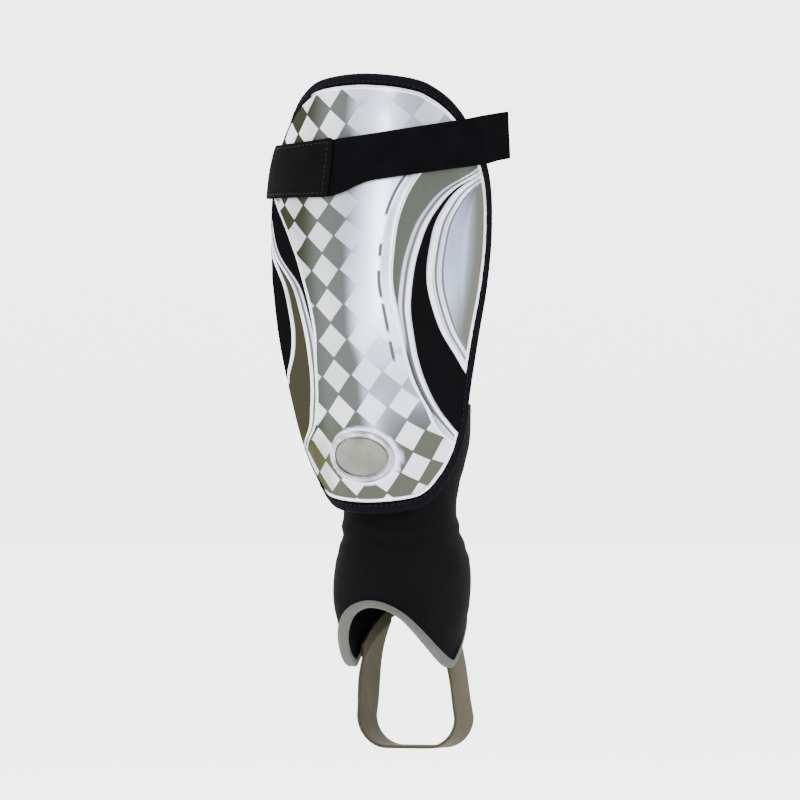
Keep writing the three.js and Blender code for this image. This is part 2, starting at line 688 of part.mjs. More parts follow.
// Colours and finishes of the real pieces
const silverPlastic = { color: 0xdee1e9, roughness: 0.28, metalness: 0.35 };
const chromedPlastic = { color: 0xd8d9dc, roughness: 0.22, metalness: 0.6 };
const badgeResin = { color: 0xa3a396, roughness: 0.35, metalness: 0.2 };
const darkFoam = { color: 0x1b1c20, roughness: 0.95, metalness: 0 };
const navyTape = { color: 0x1d1d26, roughness: 0.85, metalness: 0 };
const blackElastic = { color: 0x161616, roughness: 0.9, metalness: 0 };
const hookTape = { color: 0x23241f, roughness: 0.8, metalness: 0 };
const neoprene = { color: 0x1b1b1b, roughness: 0.92, metalness: 0 };
const greyTape = { color: 0x7d7c72, roughness: 0.85, metalness: 0 };
const greyElastic = { color: 0x7d7861, roughness: 0.88, metalness: 0 };

const shinGuard = new THREE.Group();

function addPiece(name, geometry, finish) {
  const piece = new THREE.Mesh(geometry, new THREE.MeshStandardMaterial({ ...finish, flatShading: true }));
  piece.name = name;
  shinGuard.add(piece);
}

addPiece('shell', shell(), silverPlastic);
addPiece('badge_ring', badgeRing(), chromedPlastic);
addPiece('badge_plate', badgePlate(), badgeResin);
addPiece('foam_pad', foamPad(), darkFoam);
addPiece('edge_binding', edgeBinding(), navyTape);
addPiece('calf_strap', calfStrap(), blackElastic);
addPiece('strap_tab', strapTab(), hookTape);
addPiece('ankle_sleeve', ankleSleeve(), neoprene);
addPiece('hem_binding', hemBinding(), greyTape);
addPiece('stirrup', stirrup(), greyElastic);

export default shinGuard;
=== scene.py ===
# A shin guard with an ankle sleeve, in its worn form, dressed piece by piece over its frame.
import math
import bmesh
import bpy
import numpy as np
from mathutils.geometry import convex_hull_2d
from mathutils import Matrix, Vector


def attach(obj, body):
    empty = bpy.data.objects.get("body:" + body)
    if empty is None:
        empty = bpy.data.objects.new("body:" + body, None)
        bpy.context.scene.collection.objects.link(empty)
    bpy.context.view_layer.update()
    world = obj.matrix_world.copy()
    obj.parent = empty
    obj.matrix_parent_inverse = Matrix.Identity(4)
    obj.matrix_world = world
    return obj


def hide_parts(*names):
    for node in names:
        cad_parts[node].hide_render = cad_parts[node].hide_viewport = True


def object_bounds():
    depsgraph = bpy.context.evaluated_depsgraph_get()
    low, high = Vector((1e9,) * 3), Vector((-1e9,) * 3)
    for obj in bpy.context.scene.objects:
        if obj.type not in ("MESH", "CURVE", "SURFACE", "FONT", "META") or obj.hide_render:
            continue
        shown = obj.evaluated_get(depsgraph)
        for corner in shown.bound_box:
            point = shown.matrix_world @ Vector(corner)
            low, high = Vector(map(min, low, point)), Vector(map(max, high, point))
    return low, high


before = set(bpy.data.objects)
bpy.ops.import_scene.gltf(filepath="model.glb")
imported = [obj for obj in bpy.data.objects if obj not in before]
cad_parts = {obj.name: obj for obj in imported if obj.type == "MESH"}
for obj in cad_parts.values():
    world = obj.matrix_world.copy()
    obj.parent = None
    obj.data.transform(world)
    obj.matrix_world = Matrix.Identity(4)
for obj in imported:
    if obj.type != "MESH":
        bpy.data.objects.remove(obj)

cad_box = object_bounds()

# The studio. The guard is held up as if on a leg, over a pale floor, and is seen from a little
# to its right of straight ahead. A lit backdrop behind and above it, a dim room in front and
# tall soft boxes give the silver its shine.
VIEW_TURN = math.radians(24)
VIEW_DISTANCE = 6.0
VIEW_HEIGHT = -0.0583
VIEW_ASIDE = -0.0011
PIXELS_PER_METRE = 1808
IMAGE_PIXELS = 800
FLOOR_DROP = 0.06
FLOOR_REACH = 12.0
ROOM_LIGHT = 1.1
BACKDROP_LIGHT = 7.4
BACKDROP_START = 0.15
BACKDROP_FULL = 1.3
BACKDROP_RISE = 1.1
BACKDROP_AHEAD = 0.7
FLOOR_DARKEST = 0.93
FLOOR_LIGHTEST = 0.96


# Helpers for nodes, finishes and objects, which all sections share
def srgb(red, green, blue):
    """A colour from its three channels as a screen shows them, each 0 to 255."""
    channels = np.array([red, green, blue]) / 255
    linear = np.where(channels <= 0.04045, channels / 12.92, ((channels + 0.055) / 1.055) ** 2.4)
    return [*linear.tolist(), 1.0]


def plug(made, **inputs):
    """Sets a node's inputs to values or links them. i0 and i1 stand for inputs by number."""
    for name, value in inputs.items():
        numbered = name[0] == "i" and name[1:].isdigit()
        socket = made.inputs[int(name[1:]) if numbered else name.replace("_", " ")]
        if isinstance(value, bpy.types.NodeSocket):
            made.id_data.links.new(value, socket)
        else:
            socket.default_value = value


def node(tree, kind, settings=None, **inputs):
    """A shader or geometry node with its settings and inputs."""
    made = tree.nodes.new(kind)
    for name, value in (settings or {}).items():
        setattr(made, name, value)
    plug(made, **inputs)
    return made


def finish_of(name, roughness, metallic=0.0, **sockets):
    """A material with a Principled shader, and its tree and shader."""
    material = bpy.data.materials.new(name)
    material.use_nodes = True
    shader = material.node_tree.nodes["Principled BSDF"]
    plug(shader, Roughness=roughness, Metallic=metallic, **sockets)
    return material, material.node_tree, shader


def field_of(tree, name):
    return node(tree, "ShaderNodeAttribute", dict(attribute_name=name)).outputs["Fac"]


def place_in(tree):
    return node(tree, "ShaderNodeTexCoord").outputs["Object"]


def noise(place, scale, detail=2.0):
    return node(place.id_data, "ShaderNodeTexNoise", Vector=place, Scale=scale, Detail=detail).outputs["Fac"]


def spread(value, least, most):
    """A value from 0 to 1, as a value from the least to the most."""
    return node(value.id_data, "ShaderNodeMapRange", Value=value, To_Min=least, To_Max=most).outputs[0]


def bumped(height, strength, distance, **under):
    """The normal over a bump, on top of the one given as Normal."""
    sizes = dict(Height=height, Strength=strength, Distance=distance)
    return node(height.id_data, "ShaderNodeBump", **sizes, **under).outputs[0]


def maths(operation, *values):
    """The outcome of a sum on one or two values, such as ADD or FRACT."""
    tree = next(value.id_data for value in values if isinstance(value, bpy.types.NodeSocket))
    given = {f"i{order}": value for order, value in enumerate(values)}
    return node(tree, "ShaderNodeMath", dict(operation=operation), **given).outputs[0]


def product(first, second):
    return maths("MULTIPLY", first, second)


def rising(value, low, high):
    """1 above high and 0 below low, or the other way round where low is the larger."""
    limits = dict(From_Min=low, From_Max=high)
    smooth = dict(interpolation_type="SMOOTHSTEP")
    return node(value.id_data, "ShaderNodeMapRange", smooth, Value=value, **limits).outputs[0]


def band_of(value, low, high, soft=0.25):
    """1 from low to high, with soft ends."""
    return product(rising(value, low - soft, low + soft), rising(value, high + soft, high - soft))


def painted(under, over, where):
    """One colour painted over another where a mask is 1."""
    mix = node(where.id_data, "ShaderNodeMix", dict(data_type="RGBA"), i0=where, i6=under, i7=over)
    return mix.outputs[2]


def layered(under, layers):
    """Colours painted one after another, each where its own mask is 1."""
    for over, where in layers:
        under = painted(under, over, where)
    return under


def placed(name, data):
    """A new object in the scene."""
    made = bpy.data.objects.new(name, data)
    bpy.context.scene.collection.objects.link(made)
    return made


def soft_light(name, turn, rise, distance, width, height, power):
    """A tall or square soft box that faces the guard from a turn, a rise and a distance."""
    light = bpy.data.lights.new(name, "AREA")
    light.shape = "RECTANGLE"
    light.size = width
    light.size_y = height
    light.energy = power
    lamp = placed(name, light)
    turn = math.radians(turn)
    rise = math.radians(rise)
    lamp.location = (
        distance * math.sin(turn) * math.cos(rise),
        -distance * math.cos(turn) * math.cos(rise),
        VIEW_HEIGHT + distance * math.sin(rise),
    )
    lamp.rotation_euler = (math.pi / 2 - rise, 0.0, turn)


camera = placed("camera", bpy.data.cameras.new("camera"))
camera.location = (
    VIEW_ASIDE * math.cos(VIEW_TURN) + VIEW_DISTANCE * math.sin(VIEW_TURN),
    VIEW_ASIDE * math.sin(VIEW_TURN) - VIEW_DISTANCE * math.cos(VIEW_TURN),
    VIEW_HEIGHT,
)
camera.rotation_euler = (math.pi / 2, 0.0, VIEW_TURN)
camera.data.lens = camera.data.sensor_width * PIXELS_PER_METRE * VIEW_DISTANCE / IMAGE_PIXELS
camera.data.clip_end = 100
bpy.context.scene.camera = camera

floor_mesh = bpy.data.meshes.new("floor")
floor_height = cad_box[0][2] - FLOOR_DROP
corners = ((-1, -1), (1, -1), (1, 1), (-1, 1))
floor_points = [(x * FLOOR_REACH, y * FLOOR_REACH, floor_height) for x, y in corners]
floor_mesh.from_pydata(floor_points, [], [(0, 1, 2, 3)])
floor = placed("floor", floor_mesh)
floor_material, floor_tree, floor_shader = finish_of("studio floor", 0.9)
floor_speckle = node(floor_tree, "ShaderNodeTexNoise", Scale=40.0).outputs["Fac"]
plug(floor_shader, Base_Color=spread(floor_speckle, FLOOR_DARKEST, FLOOR_LIGHTEST))
floor_mesh.materials.append(floor_material)

world = bpy.data.worlds.new("studio")
world.use_nodes = True
room = world.node_tree
away = (-BACKDROP_AHEAD * math.sin(VIEW_TURN), BACKDROP_AHEAD * math.cos(VIEW_TURN), BACKDROP_RISE)
direction = node(room, "ShaderNodeTexCoord").outputs["Generated"]
facing = node(room, "ShaderNodeVectorMath", dict(operation="DOT_PRODUCT"), i0=direction, i1=away)
backdrop = node(
    room, "ShaderNodeMapRange", Value=facing.outputs["Value"], From_Min=BACKDROP_START,
    From_Max=BACKDROP_FULL, To_Min=ROOM_LIGHT, To_Max=BACKDROP_LIGHT)
plug(room.nodes["Background"], Color=(1.0, 1.0, 1.0, 1.0), Strength=backdrop.outputs[0])
bpy.context.scene.world = world
soft_light("front strip", turn=2, rise=6, distance=1.8, width=0.3, height=1.6, power=26)
soft_light("right strip", turn=74, rise=14, distance=1.7, width=0.35, height=1.4, power=14)
soft_light("left box", turn=-52, rise=12, distance=1.7, width=0.8, height=1.3, power=10)
soft_light("back box", turn=170, rise=35, distance=1.8, width=1.2, height=1.2, power=10)


# The shell. A hard plastic moulding, silver under a gloss coat, that wraps the front of the
# shin. A panel edge, a rib and the rim of a domed lens are moulded on each side, the middle
# panel is printed with a grey and white check, and the crescents beside it in black and grey.
GUARD_SIDE = 72.5
GUARD_FRONT = 69.5
HALF_HEIGHT = 121.0
PAD_HALF_SPAN = 84.0
RIM_WIDTH = 6.5
SHELL_WALL = 2.0
RIB_HEIGHT = 1.3
RIB_FOOT = 2.1
PANEL_RISE = 7.0
BEVEL = 1.6
LENS_BAND = 8.0
LENS_BAND_HEIGHT = 0.35 * RIB_HEIGHT
LENS_BAND_SLOPE = 1.2
LENS_HEIGHT = 1.8
LIP_WIDTH = 2.4
LIP_HEIGHT = 0.5
EDGE_ROUND = 0.6
SHELL_ROWS = 240
SHELL_STEPS = 6
OUTLINE_TURN = 0.01
CLEAR_OF_LINES = 50.0
MM = 0.001
SAME_PLACE = 1e-6


def table(columns, rows):
    """Rows of numbers as dicts by the names of their columns."""
    return [dict(zip(columns.split(), row)) for row in rows]


# In each table, at is the height as a share of the half height. The form has shares of the
# guard's two radii, and the outline and the moulded lines have shares of the pad's half span
GUARD_FORM = table("at side front", [
    (-1, 0.555, 0.64), (-0.89, 0.637, 0.69), (-0.785, 0.706, 0.74), (-0.67, 0.768, 0.795),
    (-0.45, 0.865, 0.885), (-0.23, 0.942, 0.955), (0, 0.982, 0.995), (0.2, 1, 1), (0.43, 0.998, 0.977),
    (0.6, 0.972, 0.93), (0.8, 0.89, 0.865), (1, 0.82, 0.78),
])
PAD_OUTLINE = table("at span", [
    (-1, 0), (-0.975, 0.34), (-0.938, 0.45), (-0.875, 0.545), (-0.79, 0.64), (-0.64, 0.742),
    (-0.45, 0.8), (-0.2, 0.885), (0.04, 0.968), (0.3, 1), (0.5, 0.97), (0.65, 0.885), (0.77, 0.768),
    (0.88, 0.613), (0.936, 0.488), (0.964, 0.4), (1, 0),
])
RIGHT_LINES = table("at panel wing lens", [
    (-0.7, 0.66, 0.74, 1.1), (-0.62, 0.53, 0.625, 1), (-0.51, 0.46, 0.51, 0.9),
    (-0.4, 0.388, 0.443, 0.8), (-0.29, 0.352, 0.404, 0.705), (-0.18, 0.33, 0.385, 0.611),
    (-0.07, 0.305, 0.373, 0.557), (0.04, 0.279, 0.386, 0.524), (0.2, 0.286, 0.429, 0.535),
    (0.37, 0.323, 0.531, 0.605), (0.48, 0.382, 0.67, 0.73), (0.56, 0.45, 0.87, 0.92),
    (0.74, 0.7, 1.1, 1.2),
])
LEFT_LINES = table("at panel wing lens", [
    (-0.72, 0.6, 0.66, 1.2), (-0.62, 0.4, 0.448, 1), (-0.51, 0.33, 0.38, 0.88),
    (-0.4, 0.306, 0.349, 0.72), (-0.29, 0.298, 0.349, 0.56), (-0.18, 0.289, 0.369, 0.513),
    (-0.07, 0.315, 0.414, 0.537), (0.04, 0.364, 0.487, 0.6), (0.2, 0.465, 0.779, 0.85),
    (0.37, 0.655, 1, 1.1), (0.5, 0.9, 1.2, 1.3),
])


def curve(table, column, along="at"):
    """A smooth curve through one column of a table."""
    places = np.array([row[along] for row in table], float)
    values = np.array([row[column] for row in table], float)
    gaps = np.diff(places)
    rates = np.diff(values) / gaps
    slopes = np.concatenate([rates[:1], rates[1:], rates[-1:]])
    slopes[1:-1] = (rates[:-1] * gaps[1:] + rates[1:] * gaps[:-1]) / (gaps[:-1] + gaps[1:])

    def value(place):
        place = np.clip(place, places[0], places[-1])
        cell = np.clip(np.searchsorted(places, place, side="right") - 1, 0, len(gaps) - 1)
        share = (place - places[cell]) / gaps[cell]
        rest = 1 - share
        start = (1 + 2 * share) * rest**2 * values[cell] + share * rest**2 * gaps[cell] * slopes[cell]
        end = share**2 * (3 - 2 * share) * values[cell + 1] - share**2 * rest * gaps[cell] * slopes[cell + 1]
        return start + end

    return value


def ramp(value, low, high):
    """Rises smoothly from 0 to 1 as the value goes from low to high."""
    share = np.clip((value - low) / (high - low), 0, 1)
    return share * share * (3 - 2 * share)


guard_side = curve(GUARD_FORM, "side")
guard_front = curve(GUARD_FORM, "front")
span_squared = curve([dict(at=row["at"], square=row["span"] ** 2) for row in PAD_OUTLINE], "square")


def on_guard(span, height, lift):
    """Points of the guard, from the span round its curve, the height and the lift off its face."""
    span, height, lift = np.broadcast_arrays(span, height, lift)
    side = GUARD_SIDE * guard_side(height / HALF_HEIGHT)
    front = GUARD_FRONT * guard_front(height / HALF_HEIGHT)
    angle = span / ((side + front) / 2)
    across = front * np.sin(angle)
    ahead = -side * np.cos(angle)
    length = np.hypot(across, ahead)
    x = side * np.sin(angle) + lift * across / length
    y = -front * np.cos(angle) + lift * ahead / length
    return np.stack([x, y, height], axis=-1)


def outline_point(turn, inset):
    """Span and height of the pad's outline, inset by a distance, clockwise from the top."""
    def place(angle):
        height = np.cos(angle)
        share = np.sqrt(np.maximum(span_squared(height), 0)) * np.sign(np.sin(angle))
        return np.stack([share * PAD_HALF_SPAN, height * HALF_HEIGHT])

    along = place(turn + OUTLINE_TURN) - place(turn - OUTLINE_TURN)
    along /= np.linalg.norm(along, axis=0)
    return place(turn) + np.stack([along[1], -along[0]]) * inset


def inset_outline(inset, rows):
    """Heights that crowd towards the ends of the inset outline, and its half span at each."""
    spans, heights = outline_point(np.linspace(0, math.pi, 900), inset)
    turns = np.linspace(0, math.pi, rows + 1)
    levels = (heights[0] + heights[-1]) / 2 + (heights[0] - heights[-1]) / 2 * np.cos(turns)
    half_spans = np.interp(levels, heights[::-1], spans[::-1])
    half_spans[[0, -1]] = 0
    return levels, half_spans


def skin(name, rings, joined=False, around=None, along=None, fields=None, material=None):
    """A mesh from closed rings of points in millimetres, joined end to end or open.

    around and along give its UV map. along may be the whole length, where the rings are even.
    """
    count, size = rings.shape[:2]
    index = np.arange(count * size).reshape(count, size)
    here = index if joined else index[:-1]
    after = np.roll(index, -1, axis=0) if joined else index[1:]
    quads = np.stack([here, np.roll(here, -1, 1), np.roll(after, -1, 1), after], axis=-1).reshape(-1, 4)
    mesh = bpy.data.meshes.new(name)
    mesh.from_pydata((rings.reshape(-1, 3) * MM).tolist(), [], quads.tolist())
    if around is not None:
        if np.ndim(along) == 0:
            along = np.linspace(0, along, len(here) + 1)
        row = np.repeat(np.arange(len(here)), size)
        column = np.tile(np.arange(size), len(here))
        across = np.stack([around[column], around[column + 1], around[column + 1], around[column]], axis=-1)
        down = np.stack([along[row], along[row], along[row + 1], along[row + 1]], axis=-1)
        uv = mesh.uv_layers.new(name="surface")
        uv.data.foreach_set("uv", (np.stack([across, down], axis=-1) * MM).ravel())
    for field, values in (fields or {}).items():
        kind = "FLOAT_VECTOR" if values.ndim == 3 else "FLOAT"
        layer = mesh.attributes.new(field, kind, "POINT")
        part = "vector" if values.ndim == 3 else "value"
        layer.data.foreach_set(part, values.astype(np.float32).ravel())
    build = bmesh.new()
    build.from_mesh(mesh)
    bmesh.ops.remove_doubles(build, verts=build.verts, dist=SAME_PLACE)
    bmesh.ops.recalc_face_normals(build, faces=build.faces)
    for face in build.faces:
        face.smooth = True
    build.to_mesh(mesh)
    build.free()
    mesh.materials.append(material)
    return placed(name, mesh)


shell_outline = outline_point(np.linspace(0, math.pi, 700), RIM_WIDTH)
shell_levels, shell_halves = inset_outline(RIM_WIDTH, SHELL_ROWS)


def moulded(lines, heights):
    """Spans of the panel's edge, the rib and the lens's rim on one side, at each height."""
    at = heights / HALF_HEIGHT
    panel, wing, lens = (PAD_HALF_SPAN * curve(lines, line)(at) for line in ("panel", "wing", "lens"))
    wing = np.maximum(wing, panel + BEVEL + RIB_FOOT)
    return panel, wing, np.maximum(lens, wing + 2 * RIB_FOOT)


def side_spans(lines):
    """Spans of the columns on one side, which follow the moulded lines of that side."""
    panel, wing, lens = moulded(lines, shell_levels)
    lip = shell_halves - LIP_WIDTH
    rise = np.maximum(panel - PANEL_RISE, panel / 2)
    wanted = [
        rise * 0.33, rise * 0.66, rise, panel, panel + BEVEL,
        wing - RIB_FOOT, wing, wing + RIB_FOOT, lens - RIB_FOOT, lens, lens + RIB_FOOT,
        lens + LENS_BAND, (lens + LENS_BAND + lip) / 2, lip, shell_halves - EDGE_ROUND, shell_halves,
    ]
    room = shell_halves / (3 * len(wanted))
    keys = [np.zeros_like(shell_halves)]
    for order, span in enumerate(wanted):
        limit = shell_halves - (len(wanted) - 1 - order) * room
        keys.append(np.minimum(np.maximum(span, keys[-1] + room), limit))
    shares = np.arange(1, SHELL_STEPS + 1) / SHELL_STEPS
    steps = [start[:, None] + (end - start)[:, None] * shares for start, end in zip(keys, keys[1:])]
    return np.concatenate(steps, axis=1)


def edge_distance(spans, heights):
    """Distance of each point from the shell's outline, along the surface."""
    distance = np.empty_like(spans)
    for row in range(len(spans)):
        aside = spans[row][:, None] - shell_outline[0]
        above = heights[row][:, None] - shell_outline[1]
        distance[row] = np.sqrt((aside**2 + above**2).min(axis=1))
    return distance


def side_relief(spans, lines, side):
    """The lift of one side of the shell, and its distances from the lines and from the edge."""
    heights = np.broadcast_to(shell_levels[:, None], spans.shape)
    panel, wing, lens = moulded(lines, heights)
    half = np.broadcast_to(shell_halves[:, None], spans.shape)
    edge = edge_distance(spans, heights)
    to_panel, to_wing, to_lens = spans - panel, spans - wing, spans - lens
    slope = ramp(to_panel, -PANEL_RISE, 0) - ramp(to_panel, 0, BEVEL)

    def rib(away):
        return np.maximum(1 - (away / RIB_FOOT) ** 2, 0) ** 1.5

    lift = RIB_HEIGHT * slope * ramp(half - panel, 0, 2 * PANEL_RISE)
    lift = lift + RIB_HEIGHT * rib(to_wing) * ramp(half - wing, 0, PANEL_RISE)
    lens_fade = ramp(half - lens, 0, 4 * LIP_WIDTH)
    lift = lift + RIB_HEIGHT * rib(to_lens) * lens_fade
    band = ramp(to_lens, 0, RIB_FOOT) - ramp(to_lens, LENS_BAND - LENS_BAND_SLOPE, LENS_BAND)
    lift = lift + LENS_BAND_HEIGHT * band * lens_fade
    dome = np.clip((to_lens - LENS_BAND) / np.maximum(half - LIP_WIDTH - lens - LENS_BAND, 1), 0, 1)
    lift = lift + LENS_HEIGHT * np.sin(math.pi * dome) ** 0.75 * ramp(half - lens, LENS_BAND, 3 * LENS_BAND)
    lift = lift * ramp(edge, 0, LIP_WIDTH) + LIP_HEIGHT * (1 - ramp(edge, 0.5 * LIP_WIDTH, LIP_WIDTH))
    lift = lift + HALO_RISE * (1 - halo_clear(side * spans, heights))
    inner = np.clip(EDGE_ROUND - edge, 0, EDGE_ROUND)
    lift = lift - (EDGE_ROUND - np.sqrt(np.maximum(EDGE_ROUND**2 - inner**2, 0)))
    return lift, dict(to_panel=to_panel, to_wing=to_wing, to_lens=to_lens, edge=edge)


# A low oval swelling of the shell, in plain silver, that the badge sits on
HALO_SPAN_AT = 0.3
HALO_HEIGHT_AT = -89.2
HALO_HALF_WIDTH = 21.6
HALO_HALF_HEIGHT = 16.2
HALO_RISE = 0.42


def halo_clear(spans, heights):
    """0 on the swelling under the badge and 1 clear of it."""
    away = np.hypot((spans - HALO_SPAN_AT) / HALO_HALF_WIDTH, (heights - HALO_HEIGHT_AT) / HALO_HALF_HEIGHT)
    return ramp(away, 0.94, 1.02)


# The check lies askew on the panel: its cells are squares on their corners, in rows that
# climb to the right and bow up at the low end, and in columns that lean with the leg
CHECK_WIDTH = 18.6
CHECK_FORM = table("at aside climb bow", [
    (-1, 12.5, 0.08, 0.006), (-0.8, 11.0, 0.08, 0.006), (-0.6, 8.6, 0.08, 0.0045),
    (-0.38, 6.9, 0.08, 0.0015), (-0.13, 5.5, 0.08, 0.0015), (0.03, 3.9, 0.08, 0.0015),
    (0.18, 0.9, 0.08, 0.0015), (0.34, -2.8, 0.08, 0.0015), (0.5, -7.0, 0.09, 0.0008),
    (0.74, -14.6, 0.12, -0.0005), (0.86, -18.2, 0.12, -0.0005), (1, -23.0, 0.12, -0.0005),
])
CHECK_ROWS = table("height row", [
    (-121, -7.1), (-102.5, -6), (-84, -5), (-44.5, -3), (-5.5, -1), (32.3, 1), (50, 2), (94, 4),
    (121, 5.4),
])


def check_place(spans, heights):
    """Place in the check, where each white cell is centred on whole numbers."""
    at = heights / HALF_HEIGHT
    aside, climb, bow = (curve(CHECK_FORM, column)(at) for column in ("aside", "climb", "bow"))
    row = curve(CHECK_ROWS, "row", "height")(heights - climb * spans - bow * spans**2)
    return np.stack([(spans - aside) / CHECK_WIDTH, row, np.zeros_like(row)], axis=-1)


def check_strength(spans, heights):
    """It is full up to a line that wanders with the height, and reaches across the low end, apart
    from a clear patch above the badge, and across the top, apart from one in the middle.
    """
    line = 5 * ramp(-heights, 20, 40) - 3 * ramp(heights, 84, 98)
    left = 1 - ramp(spans, line - 5, line + 9)
    low = 0.5 * ramp(-heights, 12, 28) + 0.32 * ramp(-heights, 34, 46) + 0.18 * ramp(-heights, 56, 66)
    low = low * (1 - 0.9 * np.exp(-((spans - 4) / 12) ** 2 - ((heights + 68) / 9) ** 2))
    top = 0.8 * ramp(heights, 84, 96) * (1 - np.exp(-((spans - 6) / 17) ** 2))
    return np.clip(np.maximum(np.maximum(left, low), top), 0, 1) * halo_clear(spans, heights)


# Heights of the low and high end of each dash of the broken line
DASHES = ((42.5, 66), (20.4, 27.5), (-2.9, 12.6), (-21, -5.6), (-37, -26))
DASH_SOFT = 0.5


def dash_strength(spans, heights):
    """Where the broken grey line beside the right edge of the panel is inked."""
    shown = 0
    for low, high in DASHES:
        begun = ramp(heights, low - DASH_SOFT, low + DASH_SOFT)
        shown = shown + begun * (1 - ramp(heights, high - DASH_SOFT, high + DASH_SOFT))
    return shown * (spans > 0)


def painted_low_shade(spans, heights):
    """Painted shade: darker silver across the low end of the panel, above the badge, standing in for a dark
    reflection there.
    """
    return 0.85 * np.exp(-((spans - 16) / 8) ** 2 - ((heights + 70) / 8) ** 2)


def grouped(*arrays):
    """Arrays side by side, as more columns of the same rows."""
    return np.concatenate(arrays, axis=1)


right_spans, left_spans = side_spans(RIGHT_LINES), side_spans(LEFT_LINES)
right_lift, right_fields = side_relief(right_spans, RIGHT_LINES, 1)
left_lift, left_fields = side_relief(left_spans, LEFT_LINES, -1)
middle = np.zeros((SHELL_ROWS + 1, 1))
face_spans = grouped(-left_spans[:, ::-1], middle, right_spans)
middle_lift, middle_fields = side_relief(middle, RIGHT_LINES, 1)
face_lift = grouped(left_lift[:, ::-1], middle_lift, right_lift)
face_count = face_spans.shape[1]
back_spans = shell_halves[:, None] * np.linspace(1, -1, face_count)
back_lift = np.full_like(back_spans, -SHELL_WALL)
back_field = np.full_like(back_spans, CLEAR_OF_LINES)
shell_fields = {
    field: grouped(left_fields[field][:, ::-1], middle_fields[field], right_fields[field], back_field)
    for field in right_fields
}
all_spans = grouped(face_spans, back_spans)
all_heights = np.broadcast_to(shell_levels[:, None], all_spans.shape)
shell_fields["check"] = check_place(all_spans, all_heights)
shell_fields["strength"] = check_strength(all_spans, all_heights)
shell_fields["dash"] = dash_strength(all_spans, all_heights)
shell_fields["shade"] = painted_low_shade(all_spans, all_heights)
shell_fields["span"] = all_spans

silver, silver_tree, silver_shader = finish_of("silver print", 0.3, Coat_Roughness=0.1)


SILVER = srgb(192, 197, 218)
# painted shade for the silver above the badge
SILVER_PAINTED_SHADE = srgb(118, 122, 136)
CHECK_WHITE = srgb(180, 181, 188)
# painted shade for the white cells at mid height
CHECK_WHITE_PAINTED_SHADE = srgb(160, 161, 167)
CHECK_GREY = srgb(66, 70, 68)
CHECK_GREY_LOW = srgb(62, 65, 57)
# grey ink with a painted bluish reflection, for cells right of the middle
CHECK_LAVENDER_PAINTED_REFLECTION = srgb(80, 83, 94)
# painted reflection and shade: grey cells towards the left, darker and olive
CHECK_PAINTED_OLIVE_REFLECTION = srgb(40, 41, 30)
WEDGE_GREY = srgb(62, 66, 60)
# painted olive reflection over the low left of the panel
LOW_PAINTED_OLIVE_REFLECTION = srgb(64, 62, 32)
CRESCENT_BLACK = srgb(9, 9, 10)
# the left crescent: dark ink with a painted olive reflection
CRESCENT_INK_PAINTED_REFLECTION = srgb(42, 42, 31)
RIB_WHITE = srgb(196, 197, 204)
LENS_BAND_SILVER = srgb(166, 171, 184)
LENS_BLUE = srgb(134, 144, 170)
# painted shade: the right lens grows darker and olive towards the shell's edge
LENS_EDGE_PAINTED_SHADE = srgb(72, 75, 66)
LINE_GREY = srgb(74, 77, 85)
LINE_DARK = srgb(56, 57, 62)
DASH_GREY = srgb(64, 67, 76)

# The masks below are distances in millimetres from the moulded lines, along the surface, and
# heights in metres.
tree = silver_tree
to_panel, to_wing, to_lens, to_edge, span, inked = (
    field_of(tree, name) for name in ("to_panel", "to_wing", "to_lens", "edge", "span", "strength"))
place = place_in(tree)
level = node(tree, "ShaderNodeSeparateXYZ", i0=place).outputs["Z"]
is_right = rising(span, -0.5, 0.5)

check = node(tree, "ShaderNodeAttribute", dict(attribute_name="check")).outputs["Vector"]
cells = node(tree, "ShaderNodeSeparateXYZ", i0=check)
offsets = []
for axis in (0, 1):
    share = maths("FRACT", maths("ADD", cells.outputs[axis], 0.5))
    offsets.append(maths("ABSOLUTE", maths("SUBTRACT", share, 0.5)))
corner = maths("ADD", *offsets)
# painted shade: white cells darker at mid height than at the brighter-lit top and low end
cell_white = painted(CHECK_WHITE, CHECK_WHITE_PAINTED_SHADE, band_of(level, -0.055, 0.07, 0.01))
cell_grey = layered(CHECK_GREY, [
    # grey cells right of the middle: the ink's grey with a painted lavender reflection
    (CHECK_LAVENDER_PAINTED_REFLECTION, rising(span, 0.0, 6.0)),
    (CHECK_GREY_LOW, rising(level, -0.06, -0.078)),
    # painted reflection and shade: grey cells turn a darker olive towards the left side
    (CHECK_PAINTED_OLIVE_REFLECTION, rising(span, -17, -36)),
])
panel_colour = layered(SILVER, [
    # painted shade: darker silver above the badge
    (SILVER_PAINTED_SHADE, field_of(tree, "shade")),
    (cell_white, product(rising(corner, 0.48, 0.45), inked)),
    (cell_grey, product(rising(corner, 0.45, 0.48), inked)),
    (DASH_GREY, product(field_of(tree, "dash"), band_of(to_panel, -8.1, -6.2, 0.3))),
    (RIB_WHITE, band_of(to_panel, -1.6, 0.6)),
])

# painted shade: the lens darkens towards the shell's edge, turned away from the light
lens_shade = painted(LENS_BLUE, LENS_EDGE_PAINTED_SHADE, rising(to_edge, 21.0, 5.0))
lens_silver = layered(LENS_BAND_SILVER, [
    (lens_shade, rising(to_lens, LENS_BAND - 0.3, LENS_BAND + 0.3)),
    (LINE_GREY, band_of(to_lens, LENS_BAND - 1.5, LENS_BAND)),
    (LINE_GREY, band_of(to_lens, 2.6, 4.0)),
])
lens_colour = painted(CRESCENT_BLACK, lens_silver, is_right)
# the left crescent is dark ink with a painted olive reflection, the right one plain black
crescent = painted(CRESCENT_INK_PAINTED_REFLECTION, CRESCENT_BLACK, is_right)
past_rib = rising(to_wing, 1.6, 2.0)
low_right = product(is_right, band_of(level, -0.07, -0.028, 0.007))
# where the painted olive reflection lies, at the low left
low_left_reflection = product(rising(span, -18, -27), rising(level, -0.074, -0.084))

